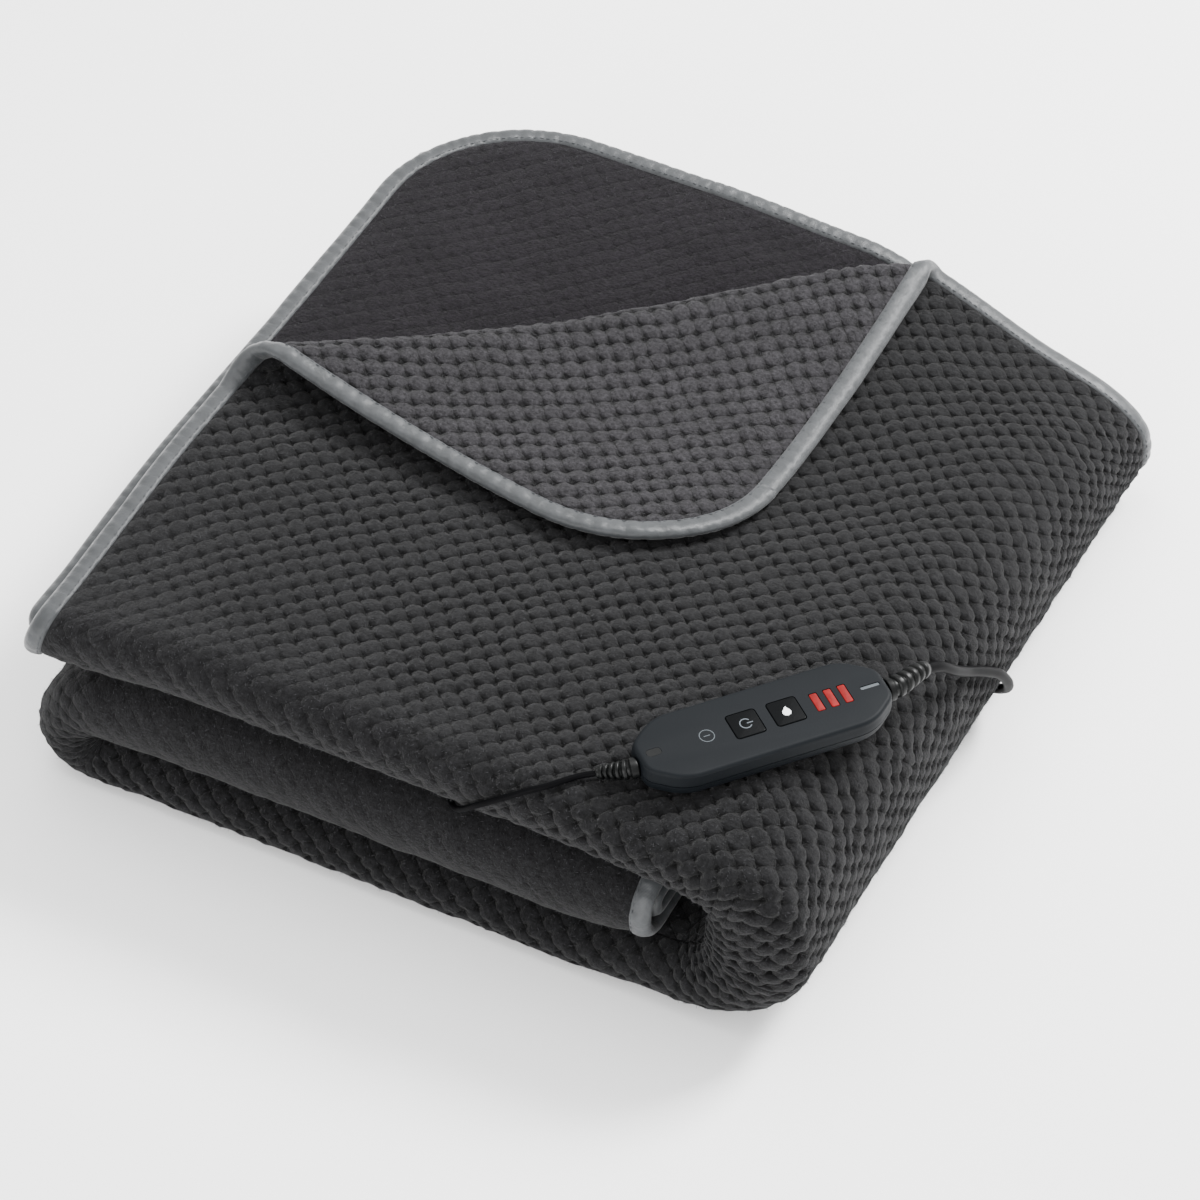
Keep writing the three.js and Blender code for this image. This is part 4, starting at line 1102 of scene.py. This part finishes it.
def plain_mesh(made):
    """The mesh that an object's modifiers give."""
    bpy.context.view_layer.update()
    return bpy.data.meshes.new_from_object(made.evaluated_get(bpy.context.evaluated_depsgraph_get()))


def grown(carrier, tree, sizes):
    """What a tree makes from a carrier, as a plain object that takes the carrier's place."""
    name = carrier.name
    step = carrier.modifiers.new("growth", "NODES")
    step.node_group = tree
    for socket in tree.interface.items_tree:
        if socket.name in sizes:
            step[socket.identifier] = sizes[socket.name]
    mesh = plain_mesh(carrier)
    bpy.data.objects.remove(carrier)
    return linked(name, mesh)


FIBRE_SIZES = {"Fibres per square metre": 105000.0, "Length": 1.9 * MM, "Thickness": 0.3 * MM}
FIBRE_LEAN = 1.25
FULL_TURN = 6.28


def nap_tree():
    """Scatters single raised fibres over the fleece, each leaning its own way."""
    tree, given = tree_with_sizes("raised_fibres", "Fleece", FIBRE_SIZES, "Fibres")
    shown = add_node(tree, "GeometryNodeInputNamedAttribute", {"Name": "nap"}, data_type="FLOAT")
    full = given["Fibres per square metre"]
    density = worked_out(tree, [("MULTIPLY", shown.outputs["Attribute"], full)])
    spots = add_node(
        tree,
        "GeometryNodeDistributePointsOnFaces",
        {"Mesh": given["Fleece"], "Density": density, "Seed": 4},
    )
    root_r = worked_out(tree, [("MULTIPLY", given["Thickness"], 0.5)])
    fibre = add_node(
        tree,
        "GeometryNodeMeshCone",
        {"Vertices": 3, "Radius Top": 0.0, "Radius Bottom": root_r, "Depth": given["Length"]},
        fill_type="NONE",
    )
    lean = add_node(
        tree,
        "FunctionNodeRandomValue",
        {"Min": (-FIBRE_LEAN, -FIBRE_LEAN, 0.0), "Max": (FIBRE_LEAN, FIBRE_LEAN, FULL_TURN), "Seed": 7},
        data_type="FLOAT_VECTOR",
    )
    turned = add_node(
        tree,
        "FunctionNodeRotateRotation",
        {"Rotation": spots.outputs["Rotation"], "Rotate By": lean.outputs["Value"]},
        rotation_space="LOCAL",
    )
    laid = add_node(
        tree,
        "GeometryNodeInstanceOnPoints",
        {"Points": spots, "Instance": fibre, "Rotation": turned},
    )
    # the fibres take a paler colour than the cloth: painted sheen
    return end_tree(tree, laid, FIBRE_WITH_PAINTED_SHEEN)


NAP = nap_tree()
nap = [
    grown(linked(name, piece.data.copy()), NAP, FIBRE_SIZES)
    for name, piece in (("raised_fibres_top", cloth_top), ("raised_fibres_folds", cloth))
]


# The satin tape: its section from its lip on one face round the edge to the other face.
TAPE_STEP = 1.65
TAPE_SECTION = [
    {"reach": -1.4, "side": 1.9},
    {"reach": -0.6, "side": 3.1},
    {"reach": 0.6, "side": 3.75},
    {"reach": 2.6, "side": 4.15},
    {"reach": 4.8, "side": 4.2},
    {"reach": 6.9, "side": 3.7},
    {"reach": 8.5, "side": 2.6},
    {"reach": 9.4, "side": 1.2},
]
TAPE_CREST = {"reach": 9.65, "side": 0.0}
TAPE_CLEAR_Z = 0.1
TAPE_UV_MM = 10
# the tape's gathers: thicker between the notches that its stitches pull in, and other
# ones on each face, whose noise is read this far apart
FACE_APART = 40.0
GATHER_PITCH = 8.2
GATHER_NOISE = [(1, 4.2, 21)]
SLOW_NOISE = [(1, 26.0, 22)]
PITCH_NOISE = [(0.4, 21.0, 23)]
TAPE_PUFF, GATHER_PUFF, SLOW_PUFF = 1.03, 0.05, 0.04
NOTCH_DEPTH, NOTCH_W = 0.17, 1.3
EDGE_WAVE = 0.03


def edge_path():
    """Points round the cloth's flat outline, and the direction there."""
    w, l, r = CLOTH_W, CLOTH_L, CORNER_R
    points, runs = [], []
    for start, end, centre, angle in (
        ((r, 0), (w - r, 0), (w - r, r), -90),
        ((w, r), (w, l - r), (w - r, l - r), 0),
        ((w - r, l), (r, l), (r, l - r), 90),
        ((0, l - r), (0, r), (r, r), 180),
    ):
        start, end = np.array(start, float), np.array(end, float)
        length = np.linalg.norm(end - start)
        count = round(length / TAPE_STEP)
        for k in range(count):
            points.append(mix(start, end, k / count))
            runs.append((end - start) / length)
        count = round(r * math.pi / 2 / TAPE_STEP)
        for k in range(count):
            a = math.radians(angle + 90 * k / count)
            points.append(np.array(centre) + r * np.array([math.cos(a), math.sin(a)]))
            runs.append(np.array([-math.sin(a), math.cos(a)]))
    return np.array(points), np.array(runs)


def folded_edge():
    """The cloth's edge as folded: its middle line, the way outwards and the way off its face."""
    at, run = edge_path()
    du, dv, normal = slopes(at[:, 0], at[:, 1])
    tangent = du * run[:, :1] + dv * run[:, 1:]
    tangent /= np.linalg.norm(tangent, axis=-1, keepdims=True)
    return place(at[:, 0], at[:, 1]), np.cross(normal, tangent), normal


def tape_object(name):
    middle, out, normal = folded_edge()
    length = len(middle)
    along = np.arange(length) * TAPE_STEP
    slow = layered(SLOW_NOISE, along, 0 * along)
    back = [{"reach": s["reach"], "side": -s["side"]} for s in reversed(TAPE_SECTION)]
    section = [*TAPE_SECTION, TAPE_CREST, *back]
    rings = []
    for spot in section:
        reach, side = spot["reach"], spot["side"]
        face = FACE_APART * np.sign(side) + 0 * along
        turn = along / GATHER_PITCH + layered(PITCH_NOISE, along, face)
        notch = np.exp(-((np.abs(turn - np.round(turn)) * GATHER_PITCH / NOTCH_W) ** 2))
        gather = layered(GATHER_NOISE, along, face)
        puff = TAPE_PUFF + GATHER_PUFF * gather + SLOW_PUFF * slow - NOTCH_DEPTH * notch
        edge = reach * (1 + EDGE_WAVE * slow * (reach > 4))
        off_face = side * np.where(abs(side) > 2, puff, 1)
        point = middle + out * edge[:, None] + normal * off_face[:, None]
        rings.append(settle(point[:, 0], point[:, 1], point[:, 2]))
    count = len(section)
    points = np.stack(rings, axis=1).reshape(-1, 3)
    points[:, 2] = np.maximum(points[:, 2], TAPE_CLEAR_Z)
    k = np.arange(length)[:, None]
    s = np.arange(count)[None, :]
    after, turn = (k + 1) % length, (s + 1) % count
    faces = [k * count + s, after * count + s, after * count + turn, k * count + turn]
    faces = np.stack(faces, axis=-1).reshape(-1, 4)[:, ::-1]
    round_it = np.tile(np.arange(count) / count, length)
    uv = np.stack([np.repeat(along, count) / TAPE_UV_MM, round_it], axis=-1)
    return mesh_object(name, points, faces, uv, None, (TAPE,))


tape = tape_object("satin_binding")


# The stitches that sew down the tape's two lips.
STITCH_SIZES = {"Pitch": 3.6 * MM, "Length": 2.7 * MM, "Thickness": 0.62 * MM}
SEAM_REACH, SEAM_SIDE = 0.5, 3.72
SEAM_CLEAR_Z = 0.5


def stitch_tree():
    """Lays one stitch after another along a seam, a pitch apart."""
    tree, given = tree_with_sizes("stitches_along_a_seam", "Seam", STITCH_SIZES, "Stitches")
    spots = add_node(
        tree,
        "GeometryNodeCurveToPoints",
        {"Curve": given["Seam"], "Length": given["Pitch"]},
        mode="LENGTH",
    )
    size = add_node(
        tree,
        "ShaderNodeCombineXYZ",
        {0: given["Thickness"], 1: given["Thickness"], 2: given["Length"]},
    )
    thread = add_node(tree, "GeometryNodeMeshIcoSphere", {"Radius": 0.5, "Subdivisions": 1})
    laid = add_node(
        tree,
        "GeometryNodeInstanceOnPoints",
        {"Points": spots, "Instance": thread, "Rotation": spots.outputs["Rotation"], "Scale": size},
    )
    return end_tree(tree, laid, THREAD)


def stitches(name, side):
    middle, out, normal = folded_edge()
    line = middle + out * SEAM_REACH + normal * side * SEAM_SIDE
    line = settle(line[:, 0], line[:, 1], line[:, 2])
    line[:, 2] = np.maximum(line[:, 2], SEAM_CLEAR_Z)
    curve, spline = polyline(name, line)
    spline.use_cyclic_u = True
    return grown(linked(name, curve), STITCHES, STITCH_SIZES)


STITCHES = stitch_tree()
stitching = [stitches("stitches_outer_face", 1), stitches("stitches_inner_face", -1)]


# The hand control.
CONTROL_L, CONTROL_W, CONTROL_H = 134.0, 44.0, 15.0
CONTROL_SEAM = CONTROL_H / 2
CONTROL_END_W, CONTROL_TAPER = 19.0, 16.0
END_CORNER, SIDE_CORNER = 5, 9
CONTROL_AT = Vector((156.1, -146.5, 119.2))
CONTROL_TURN = Euler((math.radians(3), math.radians(2), math.radians(51.5)), "XYZ")
CONTROL_FRAME = Matrix.Translation(CONTROL_AT) @ CONTROL_TURN.to_matrix().to_4x4()
KEY_W, KEY_CORNER, KEY_POCKET, KEY_PLAY, KEY_PROUD = 15.6, 2.0, 3.2, 0.35, 0.3
KEY_TRAVEL = 0.8
POWER_KEY_X, HEAT_KEY_X = -9.6, 12.2
LIGHT_L, LIGHT_W, LIGHT_POCKET, LIGHT_PROUD = 11.5, 4.0, 1.2, 0.1
SHARP_FROM, CUT_SHARP_FROM = math.radians(42), math.radians(35)
LIGHT_X = [29.0, 36.6, 44.2]


def rounded(corners, radii, steps):
    """A convex outline with each corner rounded by its own radius."""
    out = []
    count = len(corners)
    for k, corner in enumerate(corners):
        at = Vector(corner)
        before = Vector(corners[k - 1]) - at
        after = Vector(corners[(k + 1) % count]) - at
        start = at + before.normalized() * radii[k]
        end = at + after.normalized() * radii[k]
        for s in range(steps + 1):
            t = s / steps
            out.append(start * (1 - t) ** 2 + at * 2 * t * (1 - t) + end * t**2)
    return out


def inset_outline(outline, distance):
    """Moves each point of a closed outline inwards, square to the line through its neighbours."""
    count = len(outline)
    out = []
    for k, at in enumerate(outline):
        run = (outline[(k + 1) % count] - outline[k - 1]).normalized()
        out.append(at + Vector((-run.y, run.x)) * distance)
    return out


def loft(name, rings, material, at=Matrix.Identity(4)):
    """A closed body over rings of equal counts, with filled ends."""
    bm = bmesh.new()
    rows = [[bm.verts.new(at @ Vector(p) * MM) for p in ring] for ring in rings]
    for low, high in zip(rows, rows[1:]):
        for k in range(len(low)):
            n = (k + 1) % len(low)
            bm.faces.new((low[k], low[n], high[n], high[k]))
    bm.faces.new(list(reversed(rows[0])))
    bm.faces.new(rows[-1])
    bmesh.ops.recalc_face_normals(bm, faces=bm.faces)
    mesh = bpy.data.meshes.new(name)
    bm.to_mesh(mesh)
    bm.free()
    mesh.materials.append(material)
    mesh.shade_smooth()
    mesh.set_sharp_from_angle(angle=SHARP_FROM)
    return linked(name, mesh)


def stacked(name, outline, levels, material, at=CONTROL_FRAME):
    """A body with one outline from above, drawn in by its own inset at each level."""
    rings = [[(p.x, p.y, z) for p in inset_outline(outline, inset)] for z, inset in levels]
    return loft(name, rings, material, at)


def rectangle(width, depth, centre_x=0.0, corner=2.0, steps=6):
    x, y = width / 2, depth / 2
    corners = [(centre_x + x, -y), (centre_x + x, y), (centre_x - x, y), (centre_x - x, -y)]
    return rounded(corners, [corner] * 4, steps)


def eased(z_low, z_high, r, steps=5):
    """Levels of a rounded upper edge."""
    out = [(z_low, 0.0)]
    for k in range(steps + 1):
        a = math.pi / 2 * k / steps
        out.append((z_high - r * (1 - math.sin(a)), r * (1 - math.cos(a))))
    return out


def cut_by(target, cutters):
    """Cuts the cutters out of a body for good."""
    for cutter in cutters:
        step = target.modifiers.new("pocket", "BOOLEAN")
        step.operation = "DIFFERENCE"
        step.solver = "EXACT"
        step.object = cutter
    done = plain_mesh(target)
    target.modifiers.clear()
    target.data = done
    for cutter in cutters:
        bpy.data.objects.remove(cutter)
    done.shade_smooth()
    done.set_sharp_from_angle(angle=CUT_SHARP_FROM)


def control_outline():
    end, side = CONTROL_L / 2, CONTROL_W / 2
    straight, narrow = end - CONTROL_TAPER, CONTROL_END_W / 2
    corners = [
        (end, -narrow), (end, narrow), (straight, side), (-straight, side),
        (-end, narrow), (-end, -narrow), (-straight, -side), (straight, -side),
    ]
    ends_and_sides = [END_CORNER, END_CORNER, SIDE_CORNER, SIDE_CORNER]
    return rounded(corners, ends_and_sides * 2, 8)


OUTLINE = control_outline()
SEAM_HALF = 0.22
UNDERSIDE_LEVELS = [
    (0, 4.4), (0.3, 3.2), (0.9, 2.2), (1.8, 1.4), (3.4, 0.6), (5.5, 0.15),
    (CONTROL_SEAM - SEAM_HALF, 0),
]
COVER_EDGE = [(z, 0.5 + inset) for z, inset in eased(CONTROL_H - 3.2, CONTROL_H, 2.3, 6)]
COVER_LEVELS = [(CONTROL_SEAM + SEAM_HALF, 0.0), (CONTROL_H - 4.5, 0.2), *COVER_EDGE]
lower_shell = stacked("control_underside", OUTLINE, UNDERSIDE_LEVELS, SHELL_PLASTIC)
upper_shell = stacked("control_cover", OUTLINE, COVER_LEVELS, SHELL_PLASTIC)

# a moulded slot near one end, and a shallow oval recess near the other
SLOT_X, SLOT_L, SLOT_W = 57.8, 10.5, 2.2
OVAL_X, OVAL_L, OVAL_W = -58.6, 8.0, 4.6
RECESS = 0.7


def pocket(x, length, width, corner, depth):
    """A cutter for one pocket in the control's face."""
    outline = rectangle(length, width, x, corner)
    return stacked("pocket", outline, [(CONTROL_H - depth, 0), (CONTROL_H + 2, 0)], SHELL_PLASTIC)


pockets = []
for x in (POWER_KEY_X, HEAT_KEY_X):
    wide = KEY_W + 2 * KEY_PLAY
    pockets.append(pocket(x, wide, wide, KEY_CORNER + KEY_PLAY, KEY_POCKET))
for x in LIGHT_X:
    pockets.append(pocket(x, LIGHT_W + 2 * KEY_PLAY, LIGHT_L + 2 * KEY_PLAY, 1.0, LIGHT_POCKET))
for x, length, width in ((SLOT_X, SLOT_L, SLOT_W), (OVAL_X, OVAL_L, OVAL_W)):
    pockets.append(pocket(x, length, width, width / 2 - 0.05, RECESS))
cut_by(upper_shell, pockets)

KEY_TOP = CONTROL_H + KEY_PROUD
KEY_FOOT = CONTROL_H - KEY_POCKET + KEY_TRAVEL + GAP
key_levels = eased(KEY_FOOT, KEY_TOP, 0.7, 4)
keys = {}
for body, x in (("power_key", POWER_KEY_X), ("heat_key", HEAT_KEY_X)):
    outline = rectangle(KEY_W, KEY_W, x, KEY_CORNER)
    keys[body] = stacked(f"{body}_cap", outline, key_levels, KEY_PLASTIC)
window_levels = eased(CONTROL_H - LIGHT_POCKET + GAP, CONTROL_H + LIGHT_PROUD, 0.4, 3)
windows = []
for k, x in enumerate(LIGHT_X):
    outline = rectangle(LIGHT_W, LIGHT_L, x, 0.8)
    windows.append(stacked(f"lit_window_{k + 1}", outline, window_levels, WINDOW))


def printed(name, outlines, centre, z, material, thick=0.05):
    """Flat printed marks on the control: closed outlines with a little thickness."""
    parts = []
    for k, outline in enumerate(outlines):
        ring = [(centre[0] + x, centre[1] + y, z) for x, y in outline]
        upper = [(x, y, z + thick) for x, y, z in ring]
        parts.append(loft(f"{name}_{k}", [ring, upper], material, CONTROL_FRAME))
    return join_objects(name, parts)


def join_objects(name, parts):
    bm = bmesh.new()
    for part in parts:
        bm.from_mesh(part.data)
    mesh = bpy.data.meshes.new(name)
    bm.to_mesh(mesh)
    bm.free()
    for material in parts[0].data.materials:
        mesh.materials.append(material)
    for part in parts:
        bpy.data.objects.remove(part)
    return linked(name, mesh)


def arc_band(radius, width, start, end, steps=28):
    """An open ring's outline, counted in degrees."""
    angles = [math.radians(start + (end - start) * k / steps) for k in range(steps + 1)]
    outer, inner = radius + width / 2, radius - width / 2
    outside = [(outer * math.cos(a), outer * math.sin(a)) for a in angles]
    inside = [(inner * math.cos(a), inner * math.sin(a)) for a in angles]
    return outside + inside[::-1]


def bar(x0, y0, x1, y1, width):
    run = Vector((x1 - x0, y1 - y0)).normalized()
    side = Vector((-run.y, run.x)) * width / 2
    return [
        (x0 + side.x, y0 + side.y), (x0 - side.x, y0 - side.y),
        (x1 - side.x, y1 - side.y), (x1 + side.x, y1 + side.y),
    ]


FLAME = [
    (-0.2, -2.9), (1.6, -2.3), (2.3, -0.8), (1.9, 0.7), (1.2, 1.6), (0.9, 2.9),
    (-0.3, 2.2), (-0.9, 1.2), (-1.8, 0.6), (-2.3, -0.9), (-1.6, -2.3),
]
MARK_LIFT = 0.01
RING_X = -30.4
POWER_SIGN = [arc_band(2.9, 0.6, 35, 325), bar(0.6, 0, 3.9, 0, 0.6)]
RING_SIGN = [arc_band(3.7, 0.45, 0, 179), arc_band(3.7, 0.45, 180, 359), bar(-1.7, 0, 1.7, 0, 0.45)]
on_keys, on_cover = KEY_TOP + MARK_LIFT, CONTROL_H + MARK_LIFT
power_mark = printed("power_mark", POWER_SIGN, (POWER_KEY_X, 0), on_keys, PRINT_GREY)
heat_mark = printed("heat_mark", [FLAME], (HEAT_KEY_X, 0), on_keys, PRINT_WHITE)
ring_mark = printed("ring_mark", RING_SIGN, (RING_X, 0), on_cover, FAINT_PRINT_AND_SLOT_HIGHLIGHT)


INLAY_PLAY = 0.3
INLAY_LIFT = 0.02


def inlay(name, x, length, width, thick, material):
    """A rounded piece set into a recess, a little smaller than it."""
    corner = width / 2 - INLAY_PLAY
    shape = rectangle(length - INLAY_PLAY, width - INLAY_PLAY, 0, corner)
    z = CONTROL_H - RECESS + INLAY_LIFT
    return printed(name, [[(p.x, p.y) for p in shape]], (x, 0), z, material, thick)


# the dark inlay fills the oval recess near the thin lead's end as painted shade, flush so that it reads
# as a dark spot
oval_shade_inlay = inlay("painted_shade_oval_inlay", OVAL_X, OVAL_L, OVAL_W, 0.6, RUBBER_AND_OVAL_SHADE)
# the pale inlay in the slot near the mains lead's end is a painted highlight, for the light that the
# slot's edge catches
slot_highlight_inlay = inlay("painted_highlight_slot_inlay", SLOT_X, SLOT_L, SLOT_W, 0.2, FAINT_PRINT_AND_SLOT_HIGHLIGHT)


# The ribbed sleeves where the leads leave the control: radii of collar and tip.
SLEEVES = [
    {
        "name": "thin_lead_sleeve",
        "side": -1,
        "route": CONTROL_LEAD_ROUTE,
        "reach": 7,
        "collar": 5.4,
        "tip": 2.9,
    },
    {
        "name": "mains_lead_sleeve",
        "side": 1,
        "route": MAINS_LEAD_ROUTE,
        "reach": 10,
        "collar": 6.2,
        "tip": 3.9,
    },
]
RIBS = 5
# one rib: the share of its length with the drop from the full radius
RIB = [(0.04, 1.1), (0.12, 1.35), (0.36, 1.35), (0.46, 0.25), (0.54, 0.0), (0.88, 0.0)]
COLLAR_L, TIP_L = 3.0, 1.2
BEND_STEPS = 60
SLEEVE_SIDES = 28


def bezier(points, t):
    a, b, c, d = points
    return a * (1 - t) ** 3 + b * 3 * t * (1 - t) ** 2 + c * 3 * t * t * (1 - t) + d * t**3


def sleeve_profile(length, collar, tip):
    """The sleeve's radius at each distance along it."""
    ribbed = length - COLLAR_L - TIP_L - GAP
    out = [(0.0, collar - 0.5), (0.25, collar - 0.12), (0.6, collar), (COLLAR_L - 0.4, collar)]
    for rib in range(RIBS):
        for share, drop in RIB:
            d = COLLAR_L + rib * ribbed / RIBS + share * ribbed / RIBS
            r = mix(collar, tip + 0.6, min(max((d - COLLAR_L) / ribbed, 0), 1))
            out.append((d, r - drop))
    return out + [(length - TIP_L, tip), (length - 0.3, tip), (length, tip - 0.3)]


def sleeve(name, points, collar, tip):
    """A tapered, ribbed sleeve along a bend."""
    shares = np.linspace(0, 1, BEND_STEPS + 1)
    line = [bezier(points, k / BEND_STEPS) for k in range(BEND_STEPS + 1)]
    steps = [0.0]
    for before, after in zip(line, line[1:]):
        steps.append(steps[-1] + (after - before).length)
    rings = []
    for d, r in sleeve_profile(steps[-1], collar, tip):
        t = float(np.interp(d, steps, shares))
        here = bezier(points, t)
        run = (bezier(points, min(t + 0.01, 1)) - bezier(points, max(t - 0.01, 0))).normalized()
        across = Vector((0, 0, 1)).cross(run).normalized()
        over = run.cross(across)
        ring = []
        for k in range(SLEEVE_SIDES):
            a = 2 * math.pi * k / SLEEVE_SIDES
            ring.append(here + across * r * math.cos(a) + over * r * math.sin(a))
        rings.append(ring)
    return loft(name, rings, RUBBER_AND_OVAL_SHADE)


sleeves = []
for item in SLEEVES:
    first, second = (Vector(p) for p in item["route"][:2])
    direction = (second - first).normalized()
    tip_at = first - direction * GAP
    end_x = CONTROL_L / 2 + GAP
    start = CONTROL_FRAME @ Vector((item["side"] * end_x, 0, CONTROL_SEAM))
    out = CONTROL_FRAME @ Vector((item["side"] * (end_x + item["reach"]), 0, CONTROL_SEAM))
    bend = [start, out, tip_at - direction * item["reach"], tip_at]
    sleeves.append(sleeve(item["name"], bend, item["collar"], item["tip"]))


# The solids that stay, in their new materials.
for node, material in (
    ("coil_tie", STRAP),
    ("plug_relief", RUBBER_AND_OVAL_SHADE),
    ("plug_body", PLUG_PLASTIC),
    ("plug_pin_1", PIN_METAL),
    ("plug_pin_2", PIN_METAL),
):
    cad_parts[node].data.materials.clear()
    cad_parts[node].data.materials.append(material)

# Each piece with its body, its slot and the solids that it takes the place of.
PIECES = [
    (cloth, ROOT, "cloth", ["cloth"]),
    (cloth_top, ROOT, "cloth", []),
    (tape, ROOT, "binding", ["binding"]),
    (lower_shell, ROOT, "control_shell", ["control_lower_shell"]),
    (upper_shell, ROOT, "control_shell", ["control_upper_shell"]),
    (ring_mark, ROOT, None, []),
    (oval_shade_inlay, ROOT, None, []),
    (slot_highlight_inlay, ROOT, None, []),
    *[(window, ROOT, "light", [f"light_{k + 1}"]) for k, window in enumerate(windows)],
    (sleeves[0], ROOT, "relief", ["control_lead_relief"]),
    (sleeves[1], ROOT, "relief", ["mains_lead_relief"]),
    *[(row, ROOT, "binding", []) for row in stitching],
    *[(layer, ROOT, "cloth", []) for layer in nap],
    (control_lead, ROOT, "lead", ["control_lead"]),
    (mains_lead, ROOT, "lead", ["mains_lead", "mains_lead_tail", "lead_coil"]),
    (keys["power_key"], "power_key", "key", ["power_key"]),
    (power_mark, "power_key", None, []),
    (keys["heat_key"], "heat_key", "key", ["heat_key"]),
    (heat_mark, "heat_key", None, []),
]
for piece, body, slot, solids in PIECES:
    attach(piece, body)
    if solids:
        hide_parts(*solids)
